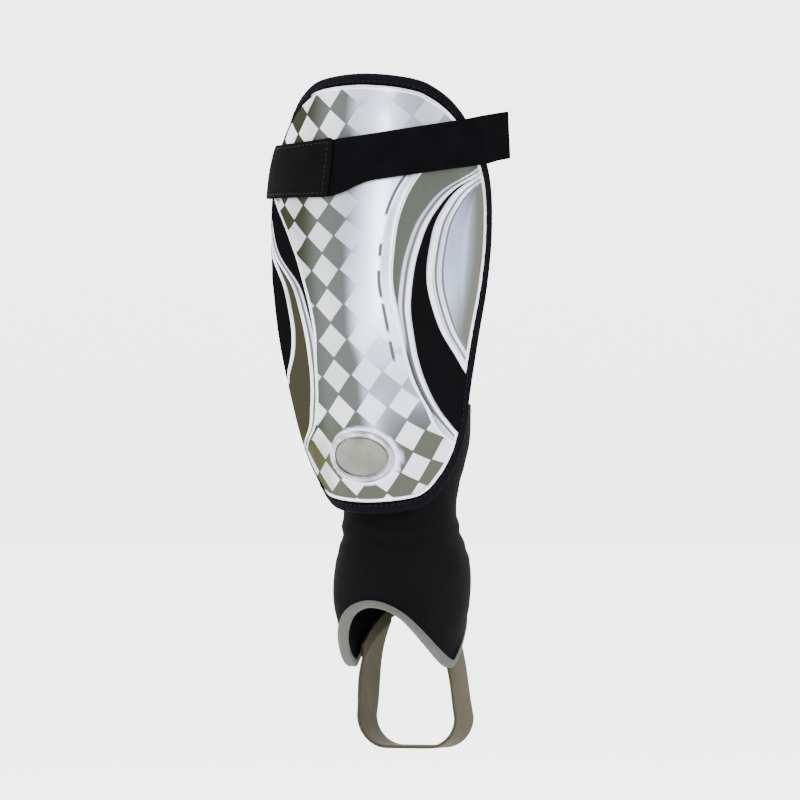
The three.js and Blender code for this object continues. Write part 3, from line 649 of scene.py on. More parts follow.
# The lip is white, apart from where it borders the dark crescents and far round the left
in_lens = product(is_right, rising(to_lens, -0.6, 0.0))
in_dark = product(past_rib, maths("SUBTRACT", 1.0, in_lens))
lip = product(rising(to_edge, 2.0, 1.6), rising(in_dark, 0.6, 0.4))
lip_colour = painted(CRESCENT_BLACK, RIB_WHITE, rising(span, -34, -28))

colour = layered(painted(CRESCENT_BLACK, WEDGE_GREY, is_right), [
    (LENS_BAND_SILVER, rising(level, -0.045, -0.055)),
    (LINE_GREY, band_of(to_wing, -5.4, -4.8, 0.2)),
    (LENS_BAND_SILVER, band_of(to_wing, -4.8, -1.5)),
    (LINE_GREY, band_of(to_wing, -3.0, -1.2, 0.2)),
    (crescent, past_rib),
    (lens_colour, rising(to_lens, -0.2, 0.2)),
    (RIB_WHITE, band_of(to_wing, -1.3, 1.7)),
    (RIB_WHITE, band_of(to_lens, -1.6, 1.4)),
    (panel_colour, rising(to_panel, 0.8, 0.4)),
    (LINE_DARK, product(low_right, band_of(to_wing, -4.1, -2.5, 0.35))),
    # painted olive reflection over the low left
    (LOW_PAINTED_OLIVE_REFLECTION, product(low_left_reflection, 0.5)),
    (lip_colour, lip),
])
swell = noise(place, 70.0, 3.0)
grain = bumped(noise(place, 1400.0), 0.05, 0.0002)
wave = bumped(swell, 0.12, 0.001, Normal=grain)
plug(silver_shader, Base_Color=colour, Roughness=spread(swell, 0.22, 0.36), Normal=wave)

# The silver and white ink shines like metal under its coat, and the dark ink is dull
brightness = node(tree, "ShaderNodeRGBToBW", Color=colour).outputs[0]
brightness = node(tree, "ShaderNodeMapRange", Value=brightness, From_Min=0.03, From_Max=0.45).outputs[0]
for socket, most in (("Metallic", 0.6), ("Coat_Weight", 0.7), ("Specular_IOR_Level", 0.6)):
    plug(silver_shader, **{socket: product(brightness, most)})

shell_rings = on_guard(all_spans, all_heights, grouped(face_lift, back_lift))
shell = skin("hard_shell", shell_rings, fields=shell_fields, material=silver)
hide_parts("shell")
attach(shell, "root")


# The badge. An oval ring of metallised plastic, raised off the low end of the panel, round a
# slightly domed plate of satin resin that is left bare.
BADGE_SPAN_AT = -1.0
BADGE_HEIGHT_AT = -89.5
BADGE_HALF_WIDTH = 19.4
BADGE_HALF_HEIGHT = 14.3
BADGE_RING_WIDTH = 3.6
BADGE_RING_HEIGHT = 2.3
BADGE_SEAT = 0.45
BADGE_GAP = 0.3
BADGE_PLATE_WALL = 1.1
BADGE_DOME = 0.7
OVAL_STEPS = 120


def on_badge(half_width, half_height, lift):
    """An oval round the badge's centre for each half width, half height and lift."""
    turn = np.linspace(0, 2 * math.pi, OVAL_STEPS, endpoint=False)[:, None]
    spans = BADGE_SPAN_AT + half_width * np.sin(turn)
    heights = BADGE_HEIGHT_AT + half_height * np.cos(turn)
    return on_guard(spans, heights, lift)


chrome, chrome_tree, chrome_shader = finish_of(
    "metallised plastic", 0.2, 0.85, Coat_Weight=0.3, Coat_Roughness=0.1)
cloud = noise(place_in(chrome_tree), 120.0, 3.0)
tone = painted(srgb(118, 116, 122), srgb(164, 164, 168), rising(cloud, 0.3, 0.7))
plug(chrome_shader, Base_Color=tone, Roughness=spread(cloud, 0.12, 0.22))

profile = np.linspace(0, math.pi, 18)
ring_inset = BADGE_RING_WIDTH * (1 - np.cos(profile)) / 2
ring_lift = BADGE_SEAT + BADGE_RING_HEIGHT * np.sin(profile) ** 0.7
ring_rings = on_badge(BADGE_HALF_WIDTH - ring_inset, BADGE_HALF_HEIGHT - ring_inset, ring_lift)
badge_ring = skin("badge_rim", ring_rings, True, material=chrome)
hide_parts("badge_ring")
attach(badge_ring, "root")

resin, resin_tree, resin_shader = finish_of("badge resin", 0.38, 0.15, Coat_Weight=0.4, Coat_Roughness=0.2)
place = place_in(resin_tree)
stretch = node(resin_tree, "ShaderNodeMapping", Vector=place, Scale=(1.0, 1.0, 9.0)).outputs[0]
brush = noise(stretch, 420.0, 5.0)
shade = rising(noise(place, 90.0), 0.3, 0.7)
tone = painted(srgb(58, 58, 47), srgb(85, 85, 75), shade)
tone = painted(tone, srgb(102, 102, 94), product(brush, 0.35))
plug(resin_shader, Base_Color=tone, Normal=bumped(brush, 0.15, 0.0003))

plate_inset = BADGE_RING_WIDTH + BADGE_GAP
plate_top = BADGE_SEAT + BADGE_PLATE_WALL
dome = np.linspace(0.88, 0, 12)
share = np.concatenate([np.linspace(0, 1, 6), [1, 0.985, 0.95], dome])
plate_lift = np.concatenate([
    np.full(6, BADGE_SEAT), [plate_top - 0.35, plate_top - 0.08, plate_top],
    plate_top + BADGE_DOME * (1 - dome**2)])
plate_rings = on_badge(
    (BADGE_HALF_WIDTH - plate_inset) * share, (BADGE_HALF_HEIGHT - plate_inset) * share, plate_lift)
badge_plate = skin("badge_label", np.swapaxes(plate_rings, 0, 1), material=resin)
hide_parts("badge_plate")
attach(badge_plate, "root")


# The pad. Black cloth over a sheet of closed-cell foam, glued behind the shell. Its back is
# quilted a little fuller between the taped edge and the middle of the shin.
PAD_WALL = 6.0
PAD_FACE = -SHELL_WALL - 0.6
PAD_INSET = 1.4
PAD_TUCK = 0.25
PAD_CROWN = 0.7
PAD_ROWS = 150
PAD_COLUMNS = 96


def waves(tree, direction, scale, **more):
    """Stripes along one direction of the piece's own UV map."""
    surface = node(tree, "ShaderNodeUVMap", dict(uv_map="surface")).outputs[0]
    across = dict(bands_direction=direction)
    return node(tree, "ShaderNodeTexWave", across, Vector=surface, Scale=scale, **more).outputs["Fac"]


def knit(name, dark, light, roughness, size, bump, sheen=0.0, shine=0.02):
    """A knitted or woven cloth finish that follows the piece's own UV map."""
    material, tree, shader = finish_of(
        name, roughness, Sheen_Weight=sheen, Sheen_Roughness=0.5, Specular_IOR_Level=shine)
    more = dict(Distortion=1.2, Detail=2.0, Detail_Scale=1.0)
    weave = product(*(waves(tree, direction, 1 / size, **more) for direction in ("X", "Y")))
    place = place_in(tree)
    cloud = rising(noise(place, 55.0, 5.0), 0.25, 0.8)
    threads = bumped(weave, bump, 0.0004)
    hair = bumped(noise(place, 2600.0), bump * 0.5, 0.0003, Normal=threads)
    tone = painted(srgb(*dark), srgb(*light), product(weave, cloud))
    plug(shader, Base_Color=tone, Normal=hair)
    return material


pad_cloth = knit("pad cloth", (10, 10, 12), (22, 23, 26), 0.9, 0.0016, 0.4)
pad_levels, pad_halves = inset_outline(PAD_INSET, PAD_ROWS)
pad_share = np.linspace(-1, 1, PAD_COLUMNS)
pad_spans = pad_halves[:, None] * pad_share
pad_heights = np.broadcast_to(pad_levels[:, None], pad_spans.shape)
reach = np.sqrt(np.clip((1 - pad_share**2) * (1 - (pad_levels[:, None] / HALF_HEIGHT) ** 2), 0, 1))
pad_back = PAD_FACE - PAD_WALL + PAD_TUCK - PAD_CROWN * ramp(reach, 0.12, 0.6)
pad_rings = grouped(
    on_guard(pad_spans, pad_heights, PAD_FACE), on_guard(pad_spans, pad_heights, pad_back)[:, ::-1])
pad_around = np.concatenate([pad_share, 2 - pad_share[::-1], [3]]) * PAD_HALF_SPAN
pad = skin("cloth_foam_pad", pad_rings, around=pad_around, along=pad_levels, material=pad_cloth)
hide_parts("foam_pad")
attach(pad, "root")


# The edge tape. A dark navy bias tape folded over the pad's edge, stitched through with one
# row of dark thread on each side.
TAPE_WALL = 0.8
TAPE_SLACK = 0.6
TAPE_FACE = PAD_FACE + TAPE_SLACK + TAPE_WALL
TAPE_BACK = PAD_FACE - PAD_WALL - TAPE_SLACK - TAPE_WALL
TAPE_FLANGE = RIM_WIDTH - 0.7
TAPE_FOLD = 1.6
TAPE_LENGTH = 660.0
TAPE_STEPS = 420
STITCH_INSET = 1.3
STITCH_LIFT = 0.1
STITCH_PITCH = 0.0032
STITCH_LENGTH = 0.0022
THREAD = 0.0005
FLANGE_EDGE = 0.12


def folded_section(start, end, low, high, wall, rounding):
    """A tape folded over an edge: insets and lifts round its section, starting at its front flange.

    start is the inset of the outer fold, end that of both flanges, low and high the lifts of its
    back and its face.
    """
    turn = np.linspace(0, math.pi / 2, 6)
    inside, under, over = start + wall, low + wall, high - wall
    fold_in, fold_out = start + rounding - rounding * np.sin(turn), start + rounding - rounding * np.cos(turn)
    front, back = high - rounding + rounding * np.cos(turn), low + rounding - rounding * np.sin(turn)
    insets = [
        [end, start + rounding * 2], fold_in, fold_out, [start + rounding * 2, end, end + FLANGE_EDGE, end],
        [inside + rounding, inside, inside, inside + rounding, end, end + FLANGE_EDGE]]
    lifts = [
        [high, high], front, back, [low, low, low + wall / 2, under],
        [under, under + rounding, over - rounding, over, over, high - wall / 2]]
    return np.concatenate(insets), np.concatenate(lifts)


def way_round(across, lifts, width=1.0):
    """Distances along a closed section, back to its start. across may be shares of a width."""
    steps = np.hypot(np.diff(across, append=across[0]) * width, np.diff(lifts, append=lifts[0]))
    return np.concatenate([[0], np.cumsum(steps)])


def stitch_tree():
    """Geometry nodes that lay stitches along a path, as short rounded threads."""
    tree = bpy.data.node_groups.new("stitches", "GeometryNodeTree")
    kinds = dict.fromkeys(("Pitch", "Stitch Length", "Thread"), "Float")
    kinds = {"Path": "Geometry", **kinds, "Finish": "Material"}
    for name, kind in kinds.items():
        tree.interface.new_socket(name, in_out="INPUT", socket_type="NodeSocket" + kind)
    tree.interface.new_socket("Stitches", in_out="OUTPUT", socket_type="NodeSocketGeometry")
    given = node(tree, "NodeGroupInput").outputs
    path = node(tree, "GeometryNodeMeshToCurve", Mesh=given["Path"]).outputs[0]
    spaced = node(tree, "GeometryNodeResampleCurve", dict(mode="LENGTH"), Curve=path, Length=given["Pitch"])
    thread = node(tree, "GeometryNodeMeshUVSphere", Segments=8, Rings=5, Radius=0.5).outputs[0]
    tangent = node(tree, "GeometryNodeInputTangent").outputs[0]
    facing = node(tree, "FunctionNodeAlignRotationToVector", dict(axis="X"), Vector=tangent)
    size = node(tree, "ShaderNodeCombineXYZ", X=given["Stitch Length"], Y=given["Thread"], Z=given["Thread"])
    laid = node(
        tree, "GeometryNodeInstanceOnPoints", Points=spaced.outputs[0], Instance=thread,
        Rotation=facing.outputs[0], Scale=size.outputs[0])
    real = node(tree, "GeometryNodeRealizeInstances", Geometry=laid.outputs[0])
    finished = node(tree, "GeometryNodeSetMaterial", Geometry=real.outputs[0], Material=given["Finish"])
    node(tree, "NodeGroupOutput", Stitches=finished.outputs[0])
    return tree


STITCHES = stitch_tree()


def sewn(name, paths, finish, pitch=STITCH_PITCH, length=STITCH_LENGTH, thread=THREAD):
    """One piece of stitches along paths of points in millimetres. A path is closed or open."""
    points, edges = [], []
    for path, closed in paths:
        first = len(points)
        points += (path * MM).tolist()
        edges += [(first + step, first + step + 1) for step in range(len(path) - 1)]
        if closed:
            edges.append((first + len(path) - 1, first))
    mesh = bpy.data.meshes.new(name + "_path")
    mesh.from_pydata(points, edges, [])
    carrier = placed(name + "_path", mesh)
    modifier = carrier.modifiers.new("stitches", "NODES")
    modifier.node_group = STITCHES
    given = {"Pitch": pitch, "Stitch Length": length, "Thread": thread, "Finish": finish}
    for item in STITCHES.interface.items_tree:
        if item.name in given:
            modifier[item.identifier] = given[item.name]
    graph = bpy.context.evaluated_depsgraph_get()
    made = bpy.data.meshes.new_from_object(carrier.evaluated_get(graph), depsgraph=graph)
    made.name = name
    for face in made.polygons:
        face.use_smooth = True
    piece = placed(name, made)
    bpy.data.objects.remove(carrier)
    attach(piece, "root")
    return piece


def thread_of(name, dark, light):
    """Sewing thread, mottled by its twist."""
    material, tree, shader = finish_of(name, 0.7, Specular_IOR_Level=0.15)
    plug(shader, Base_Color=painted(srgb(*dark), srgb(*light), noise(place_in(tree), 900.0)))
    return material


navy_tape = knit("navy tape", (8, 8, 12), (15, 15, 22), 0.82, 0.0011, 0.4)
dark_thread = thread_of("dark thread", (6, 6, 10), (13, 13, 19))
turns = (np.arange(TAPE_STEPS) + 0.5) / TAPE_STEPS * 2 * math.pi
tape_inset, tape_lift = folded_section(0, TAPE_FLANGE, TAPE_BACK, TAPE_FACE, TAPE_WALL, TAPE_FOLD)
ripple = 0.1 * np.sin(turns * 61) + 0.07 * np.sin(turns * 97 + 1)
tape_rings = []
for inset, lift in zip(tape_inset, tape_lift):
    on_face = min(abs(lift - TAPE_FACE), abs(lift - TAPE_BACK)) < 0.2
    tape_rings.append(on_guard(*outline_point(turns, inset), lift + ripple * on_face))
edge_tape = skin(
    "edge_tape", np.stack(tape_rings, axis=1), True, around=way_round(tape_inset, tape_lift),
    along=TAPE_LENGTH, material=navy_tape)
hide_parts("edge_binding")
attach(edge_tape, "root")

stitch_line = outline_point(turns, TAPE_FLANGE - STITCH_INSET)
stitch_lifts = (TAPE_FACE + STITCH_LIFT, TAPE_BACK - STITCH_LIFT)
stitch_paths = [(on_guard(*stitch_line, lift), True) for lift in stitch_lifts]
sewn("edge_stitches", stitch_paths, dark_thread)


# The calf strap. Ribbed black elastic, a whole loop that lies tight over the shell in front
# and round the calf behind, climbing from the left of the shin to the right of the calf. Its
# lower edge bows down where the tab is sewn on.
STRAP_WIDTH = 26.0
STRAP_WALL = 1.2
STRAP_HEIGHT_AT = 78.3
STRAP_SLANT = 10.0
STRAP_SLANT_ANGLE = math.radians(30)
STRAP_BOW = 5.5
STRAP_BOW_AT = math.radians(-10.5)
STRAP_BOW_REACH = math.radians(22)
CALF_SIDE = 58.5
CALF_BACK = 59.5
CALF_TAPER = 0.045
STRAP_SEAT = RIB_HEIGHT + 0.15
STRAP_OVER_TAPE = 0.3
STRAP_LENGTH = 400.0
STRAP_STEPS = 360
STRAP_RIB_PITCH = 1.3
BAND_EDGE = 0.012
PATH_LEVELS = np.linspace(48, 112, 33)
PATH_ANGLES = np.linspace(-math.pi, math.pi, 721)


def tight_reach(height):
    """How far out the strap lies at each angle, at one height."""
    share = np.linspace(-1, 1, 121)
    at = np.full_like(share, height)
    shell_half = np.interp(height, shell_outline[1][::-1], shell_outline[0][::-1])
    tape_half = math.sqrt(max(span_squared(height / HALF_HEIGHT), 0)) * PAD_HALF_SPAN
    angle = share * math.pi
    swell = CALF_TAPER * (STRAP_HEIGHT_AT - height)
    depth = np.where(abs(angle) > math.pi / 2, CALF_BACK, CALF_SIDE) + swell
    calf = np.stack([(CALF_SIDE + swell) * np.sin(angle), -depth * np.cos(angle), at], axis=-1)
    over_shell = on_guard(share * shell_half, at, STRAP_SEAT)
    over_tape = on_guard(share * tape_half, at, TAPE_FACE + STRAP_OVER_TAPE)
    points = np.concatenate([over_shell, over_tape, calf])
    hull = points[convex_hull_2d(points[:, :2].tolist()), :2]
    ends = np.roll(hull, -1, axis=0)
    steps = np.linspace(0, 1, 60)[:, None, None]
    outline = (hull + (ends - hull) * steps).reshape(-1, 2)
    turned = np.arctan2(outline[:, 0], -outline[:, 1])
    order = np.argsort(turned)
    return np.interp(PATH_ANGLES, turned[order], np.hypot(*outline.T)[order], period=2 * math.pi)


reach_table = np.stack([tight_reach(height) for height in PATH_LEVELS])
for _ in range(3):
    reach_table[:, 1:-1] = (reach_table[:, :-2] + 2 * reach_table[:, 1:-1] + reach_table[:, 2:]) / 4


def on_strap(angle, height, lift):
    """Points of the strap's path at an angle from the front, pushed out by a lift."""
    angle, height, lift = np.broadcast_arrays(angle, height, lift)
    wrapped = np.arctan2(np.sin(angle), np.cos(angle))
    column = (wrapped - PATH_ANGLES[0]) / (PATH_ANGLES[1] - PATH_ANGLES[0])
    row = (height - PATH_LEVELS[0]) / (PATH_LEVELS[1] - PATH_LEVELS[0])
    left = np.clip(column.astype(int), 0, len(PATH_ANGLES) - 2)
    low = np.clip(row.astype(int), 0, len(PATH_LEVELS) - 2)
    aside, above = column - left, row - low
    lower = reach_table[low, left] * (1 - aside) + reach_table[low, left + 1] * aside
    upper = reach_table[low + 1, left] * (1 - aside) + reach_table[low + 1, left + 1] * aside
    reach = lower * (1 - above) + upper * above + lift
    return np.stack([reach * np.sin(angle), -reach * np.cos(angle), height], axis=-1)


def strap_edges(angle):
    """Heights of the strap's lower and upper edge."""
    middle = STRAP_HEIGHT_AT + STRAP_SLANT * np.sin(angle - STRAP_SLANT_ANGLE)
    turned = np.arctan2(np.sin(angle), np.cos(angle))
    away = np.minimum(np.abs(turned - STRAP_BOW_AT) / STRAP_BOW_REACH, 1)
    return middle - STRAP_WIDTH / 2 - STRAP_BOW * np.cos(away * math.pi / 2) ** 2, middle + STRAP_WIDTH / 2


def band_section(count, wall):
    """Shares of the width and lifts round the section of a flat band with round edges."""
    flat = np.linspace(BAND_EDGE, 1 - BAND_EDGE, count)
    turn = np.linspace(0, math.pi, 5)[1:-1]
    edge = BAND_EDGE * np.sin(turn)
    shares = np.concatenate([flat, 1 - BAND_EDGE + edge, flat[::-1], BAND_EDGE - edge])
    middle = wall / 2 * np.cos(turn)
    lifts = np.concatenate([np.full(count, wall / 2), middle, np.full(count, -wall / 2), -middle])
    return shares, lifts


def capped(rings):
    """The rings of a band with both ends closed, each to the middle of its last ring."""
    first, last = (np.broadcast_to(ring.mean(axis=0), ring.shape)[None] for ring in (rings[0], rings[-1]))
    return np.concatenate([first, rings, last])


def ribbed(name, dark, light, pitch, bump, roughness=0.85, shine=0.0):
    """Elastic webbing: ribs along its length and fine threads across."""
    material, tree, shader = finish_of(name, roughness, Specular_IOR_Level=shine)
    ribs = waves(tree, "X", 0.31 / pitch / MM, Distortion=0.3)
    picks = waves(tree, "Y", 700.0, Distortion=0.8)
    weave = maths("ADD", ribs, product(picks, 0.6))
    cloud = rising(noise(place_in(tree), 80.0, 4.0), 0.2, 0.9)
    tone = painted(srgb(*dark), srgb(*light), product(product(weave, 0.6), cloud))
    plug(shader, Base_Color=tone, Normal=bumped(weave, bump, 0.0005))
    return material


strap_elastic = ribbed("black elastic", (7, 7, 8), (13, 13, 14), STRAP_RIB_PITCH, 0.3)
strap_angles = np.arange(STRAP_STEPS) / STRAP_STEPS * 2 * math.pi
strap_share, strap_lift = band_section(24, STRAP_WALL)
strap_low, strap_high = strap_edges(strap_angles[:, None])
strap_heights = strap_low + strap_share * (strap_high - strap_low)
strap_rings = on_strap(strap_angles[:, None], strap_heights, STRAP_WALL / 2 + strap_lift)
strap = skin(
    "elastic_strap", strap_rings, True, around=way_round(strap_share, strap_lift, STRAP_WIDTH),
    along=STRAP_LENGTH, material=strap_elastic)
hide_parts("calf_strap")
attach(strap, "root")


# The strap's tab. Its stiff hook-and-loop end, lapped over the strap on the left of the shin
# and stitched all round, just inside its edge. Its face is bare.
TAB_WALL = 1.1
TAB_START = math.radians(-86)
TAB_END = STRAP_BOW_AT
TAB_OVERHANG = 0.5
TAB_ABOVE = 1.0
TAB_CORNER = 3.0
TAB_SEAT = STRAP_WALL + 0.15
TAB_WIDTH = 29.0
TAB_LENGTH = 88.0
TAB_FREE_LIFT = 0.4
TAB_FREE_TURN = 0.12
TAB_STITCH_INSET = 2.2
TAB_STEPS = 150


def free_lift(angle):
    """How far the tab's free end stands off the strap."""
    return TAB_FREE_LIFT * ramp(angle, TAB_END - TAB_FREE_TURN, TAB_END)


tab_cloth = knit("hook and loop tape", (8, 8, 8), (14, 15, 13), 0.85, 0.0018, 0.5, shine=0.01)
tab_angles = np.linspace(TAB_START, TAB_END, TAB_STEPS)
tab_low_edge = strap_edges(TAB_END)[0] - TAB_OVERHANG
tab_from_end = np.minimum(TAB_END - tab_angles, tab_angles - TAB_START) * GUARD_SIDE
tab_round = TAB_CORNER - np.sqrt(np.maximum(TAB_CORNER**2 - np.maximum(TAB_CORNER - tab_from_end, 0) ** 2, 0))
tab_low = tab_low_edge + tab_round
tab_high = strap_edges(tab_angles)[1] + TAB_ABOVE - tab_round
tab_share, tab_lift = band_section(26, TAB_WALL)
tab_heights = tab_low[:, None] + tab_share * (tab_high - tab_low)[:, None]
tab_edge = np.clip(tab_from_end / 0.8, 0.05, 1)[:, None]
tab_lifts = TAB_SEAT + TAB_WALL / 2 + tab_lift * tab_edge + free_lift(tab_angles)[:, None]
tab_rings = on_strap(tab_angles[:, None], tab_heights, tab_lifts)
tab = skin(
    "hook_loop_tab", capped(tab_rings), around=way_round(tab_share, tab_lift, TAB_WIDTH),
    along=TAB_LENGTH, material=tab_cloth)
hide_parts("strap_tab")
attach(tab, "root")

box_angles = np.linspace(TAB_START + 0.06, TAB_END - 0.05, 90)
box_low = np.full_like(box_angles, tab_low_edge + TAB_STITCH_INSET)
box_high = strap_edges(box_angles)[1] + TAB_ABOVE - TAB_STITCH_INSET
lift = TAB_SEAT + TAB_WALL + 0.05 + free_lift(box_angles)
loop = np.concatenate([
    on_strap(box_angles, box_low, lift),
    on_strap(box_angles[-1], np.linspace(box_low[-1], box_high[-1], 20), lift[-1]),
    on_strap(box_angles, box_high, lift)[::-1],
    on_strap(box_angles[0], np.linspace(box_high[0], box_low[0], 20), lift[0]),
])
sewn("tab_stitches", [(loop, True)], dark_thread)


# The ankle sleeve. Black cloth-faced neoprene that grips the ankle, bulging over the ankle
# bones and creased where it narrows, cut away in an arch over the instep and the heel cord.
ANKLE_SIDE = 36.8
ANKLE_FRONT = 43.0
ANKLE_BACK = 45.0
SLEEVE_TOP = -61.0
SLEEVE_LENGTH = 145.0
SLEEVE_WALL = 3.0
SLEEVE_GIRTH = 245.0
HEM_FRONT_RISE = 33.5
HEM_FRONT_FALL = 1.6
HEM_BACK_RISE = 35.0
HEM_BACK_FALL = 1.1
HEM_CORNER_ANGLE = math.radians(88)
HEM_FOLD = 1.4
NECK_AT = -133.0
SLACK_AT = -172.0
TOP_FOLD_AT = -104.0
PAD_END_AT = -117.0
SEAM_LIFT = 0.15
SEAM_TURN = 0.05
SLEEVE_STEPS = 288
SLEEVE_ROWS = 130

SLEEVE_FORM = table("down side front back shift", [
    (0, 1, 1.04, 1, 0), (0.152, 0.99, 0.977, 0.92, 0), (0.234, 0.924, 0.93, 0.82, 0),
    (0.324, 0.856, 0.85, 0.756, -0.02), (0.406, 0.837, 0.785, 0.733, -0.03),
    (0.459, 0.866, 0.814, 0.756, -0.02), (0.506, 0.883, 0.837, 0.822, 0),
    (0.551, 0.9375, 0.884, 0.933, 0), (0.6, 0.978, 0.93, 0.989, 0), (0.661, 1, 0.99, 1, 0),
    (0.731, 0.995, 1, 1, 0), (0.783, 0.965, 1, 1, 0), (0.828, 0.918, 1, 0.933, 0),
    (0.873, 0.883, 1, 0.867, 0), (0.922, 0.856, 0.977, 0.822, 0), (1.01, 0.83, 0.94, 0.79, 0),
])
sleeve_curves = {column: curve(SLEEVE_FORM, column, "down") for column in ("side", "front", "back", "shift")}


def on_sleeve(angle, height, depth):
    """Points of the sleeve at an angle from the front, sunk by a depth from its outer face."""
    angle, height, depth = np.broadcast_arrays(angle, height, depth)
    down = (SLEEVE_TOP - height) / SLEEVE_LENGTH
    side = ANKLE_SIDE * sleeve_curves["side"](down)
    ahead = ANKLE_FRONT * sleeve_curves["front"](down)
    behind = ANKLE_BACK * sleeve_curves["back"](down)
    reach = np.where(np.cos(angle) > 0, ahead, behind)
    across, along = reach * np.sin(angle), -side * np.cos(angle)
    length = np.hypot(across, along)
    x = side * np.sin(angle) + ANKLE_SIDE * sleeve_curves["shift"](down) - depth * across / length
    y = -reach * np.cos(angle) - depth * along / length
    return np.stack([x, y, height], axis=-1)


def hem_height(angle):
    """The hem's height: an arch in front, a lower one behind and a corner on each side."""
    turned = np.abs(np.arctan2(np.sin(angle), np.cos(angle)))
    ahead = turned < HEM_CORNER_ANGLE
    share = np.where(ahead, turned / HEM_CORNER_ANGLE, (math.pi - turned) / (math.pi - HEM_CORNER_ANGLE))
    rise = np.where(ahead, HEM_FRONT_RISE, HEM_BACK_RISE)
    fall = np.where(ahead, HEM_FRONT_FALL, HEM_BACK_FALL)
    return SLEEVE_TOP - SLEEVE_LENGTH + rise * np.maximum(np.cos(share * math.pi / 2), 0) ** fall


def crease(angle, height):
    """Shallow folds where the sleeve narrows above the ankle bones, and slack over the instep."""
    neck = np.exp(-((height - NECK_AT) / 13) ** 2)
    folds = np.sin(height * 0.62 + 1.4 * np.sin(2 * angle + 0.4) + 0.8 * np.sin(5 * angle))
    slack = np.exp(-((height - SLACK_AT) / 16) ** 2) * np.sin(3 * angle + height * 0.12)
    top = np.exp(-((height - TOP_FOLD_AT) / 9) ** 2) * np.sin(height * 0.5 + 2 * np.cos(angle))
    back = 0.5 - 0.5 * np.cos(angle)
    return 0.55 * neck * folds * (0.45 + 0.55 * back) + 0.35 * slack + 0.2 * top * back


neoprene = knit("black neoprene", (8, 8, 9), (15, 15, 16), 0.88, 0.0022, 0.3)
sleeve_angles = np.arange(SLEEVE_STEPS) / SLEEVE_STEPS * 2 * math.pi
sleeve_end = hem_height(sleeve_angles) + HEM_FOLD
down_share = np.linspace(0, 1, SLEEVE_ROWS)
sleeve_heights = SLEEVE_TOP + (sleeve_end[:, None] - SLEEVE_TOP) * down_share
calm = ramp(down_share, 0, 0.05) * (1 - ramp(down_share, 0.93, 1))
calm = calm * ramp(abs(sleeve_heights - PAD_END_AT), 0, 6)
folds = crease(sleeve_angles[:, None], sleeve_heights) * calm
outer = on_sleeve(sleeve_angles[:, None], sleeve_heights, -folds)
inner = on_sleeve(sleeve_angles[:, None], sleeve_heights, SLEEVE_WALL - 0.5 * folds)
rim = on_sleeve(sleeve_angles[:, None], SLEEVE_TOP + np.array([0.5, 0.7, 0.5]), np.array([2.6, 1.5, 0.4]))
sleeve_rings = grouped(outer, inner[:, ::-1], rim)
sleeve_around = np.concatenate([down_share * 132, 136 + down_share * 132, [269, 270, 271, 272]])
sleeve = skin(
    "neoprene_sleeve", sleeve_rings, True, around=sleeve_around,
    along=SLEEVE_GIRTH, material=neoprene)
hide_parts("ankle_sleeve")
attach(sleeve, "root")

sleeve_thread = thread_of("black thread", (11, 11, 12), (24, 24, 26))
seam_heights = np.linspace(SLEEVE_TOP - 4, hem_height(math.pi) + 6, 90)
seams = [(on_sleeve(math.pi + turn, seam_heights, -SEAM_LIFT), False) for turn in (-SEAM_TURN, SEAM_TURN)]
top_line = on_sleeve(sleeve_angles, SLEEVE_TOP - 3.5, -STITCH_LIFT)
sewn("sleeve_stitches", seams + [(top_line, True)], sleeve_thread, pitch=0.003, thread=0.0006)


# The hem tape. Grey elastic tape, folded over the sleeve's arched hem and stitched through
# near its upper edge, so that the cut neoprene keeps its shape.
HEM_TAPE_WIDTH = 4.0
HEM_TAPE_LENGTH = 290.0
HEM_TAPE_FOLD = 1.3
HEM_STITCH_UP = 3.0

grey_tape = knit("grey tape", (66, 67, 63), (92, 93, 89), 0.8, 0.0012, 0.5, shine=0.2)
hem_up, hem_depth = folded_section(
    0, HEM_TAPE_WIDTH, -HEM_FOLD, SLEEVE_WALL + HEM_FOLD, TAPE_WALL, HEM_TAPE_FOLD)
hem_rings = on_sleeve(sleeve_angles[:, None], hem_height(sleeve_angles)[:, None] + hem_up, hem_depth)
hem_tape = skin(
    "hem_tape", hem_rings, True, around=way_round(hem_up, hem_depth),
    along=HEM_TAPE_LENGTH, material=grey_tape)
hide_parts("hem_binding")
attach(hem_tape, "root")

grey_thread = thread_of("grey thread", (56, 57, 53), (80, 81, 77))
hem_line = on_sleeve(sleeve_angles, hem_height(sleeve_angles) + HEM_STITCH_UP, -HEM_FOLD - STITCH_LIFT)
sewn("hem_stitches", [(hem_line, True)], grey_thread, pitch=0.0026, length=0.0018)


# The stirrup. A strap of grey elastic sewn inside both corners of the hem, that runs down the
# sides of the foot and under it.
STIRRUP_WIDTH = 19.0
STIRRUP_WALL = 1.6
STIRRUP_LAP = 8.0
STIRRUP_SET_BACK = 3.0
STIRRUP_HALF = 29.4
STIRRUP_DROP = 44.5
STIRRUP_RADIUS = 17.0
STIRRUP_SLIP = 4.0
STIRRUP_BELLY = 0.35
STIRRUP_GAP = 0.45
STIRRUP_ROWS = 22

grey_elastic = ribbed("grey elastic", (44, 41, 25), (61, 57, 36), 1.2, 0.4, shine=0.2)


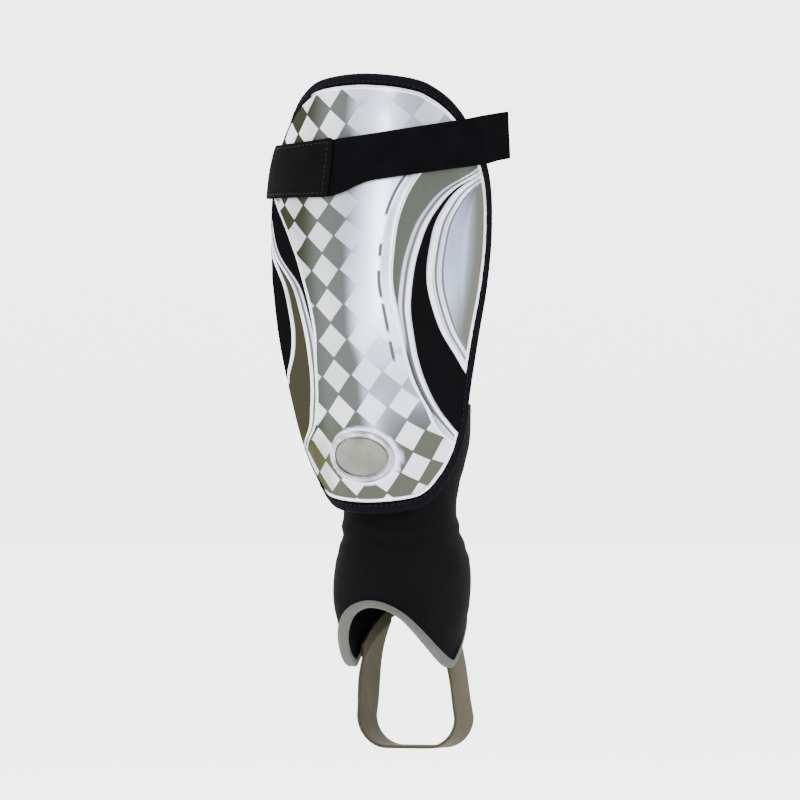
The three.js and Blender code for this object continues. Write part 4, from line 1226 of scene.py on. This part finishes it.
def stirrup_line(distance):
    """The centre line of the strap a distance back from the ankle's middle, right side first."""
    depth = SLEEVE_WALL + HEM_FOLD + STIRRUP_GAP + STIRRUP_WALL / 2
    angle = math.pi / 2 + math.asin(distance / (ANKLE_BACK * sleeve_curves["back"](1) - depth))
    hem = float(hem_height(angle))
    lap = np.linspace(1, 0, 8)
    inside = on_sleeve(angle, hem + STIRRUP_LAP * lap, depth)
    sole = SLEEVE_TOP - SLEEVE_LENGTH - STIRRUP_DROP
    turn = np.linspace(0, math.pi / 2, 18)
    bend_x = STIRRUP_HALF - STIRRUP_RADIUS * (1 - np.cos(turn))
    bend_z = sole + STIRRUP_RADIUS * (1 - np.sin(turn))
    fall = np.linspace(0, 1, 22)[1:-1]
    fall_z = hem + (bend_z[0] - hem) * fall
    belly = STIRRUP_BELLY * np.sin(math.pi * fall) * (1 - fall)
    fall_x = inside[-1, 0] + (STIRRUP_HALF - inside[-1, 0]) * (fall + belly)
    down_x, down_z = np.concatenate([fall_x, bend_x]), np.concatenate([fall_z, bend_z])
    back = inside[-1, 1] + STIRRUP_SLIP * ramp(hem - down_z, 0, hem - sole)
    right = np.concatenate([inside, np.stack([down_x, back, down_z], axis=-1)])
    flat_x = np.linspace(right[-1, 0], -right[-1, 0], 12)[1:-1]
    flat = np.stack([flat_x, np.full_like(flat_x, right[-1, 1]), np.full_like(flat_x, sole)], axis=-1)
    left = right[::-1] * (-1, 1, 1)
    return np.concatenate([right, flat, left])


stirrup_share, stirrup_lift = band_section(STIRRUP_ROWS, STIRRUP_WALL)
lines = np.stack([stirrup_line(STIRRUP_SET_BACK + share * STIRRUP_WIDTH) for share in stirrup_share], axis=1)
along = np.gradient(lines, axis=0)
out = np.stack([-along[..., 2], np.zeros(along.shape[:2]), along[..., 0]], axis=-1)
out /= np.linalg.norm(out, axis=-1, keepdims=True)
stirrup_rings = lines + out * stirrup_lift[:, None]
stirrup_along = np.cumsum(np.linalg.norm(along.mean(axis=1), axis=-1))
stirrup_along = np.concatenate([[0], stirrup_along, [stirrup_along[-1] + 1]])
stirrup = skin(
    "foot_strap", capped(stirrup_rings), around=way_round(stirrup_share, stirrup_lift, STIRRUP_WIDTH),
    along=stirrup_along, material=grey_elastic)
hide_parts("stirrup")
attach(stirrup, "root")

# It is sewn on with a flat box of stitches, which show on the sleeve's face over the hem tape
TACK_TURNS = np.radians(np.linspace(99, 131, 40))
TACK_LOW = 4.9
TACK_HIGH = 7.4
tacks = []
for side in (1, -1):
    across = side * TACK_TURNS
    low_row = on_sleeve(across, hem_height(across) + TACK_LOW, -SEAM_LIFT)
    high_row = on_sleeve(across, hem_height(across) + TACK_HIGH, -SEAM_LIFT)[::-1]
    tacks.append((np.concatenate([low_row, high_row]), True))
sewn("stirrup_tacks", tacks, sleeve_thread, pitch=0.0024, length=0.0018, thread=0.0006)
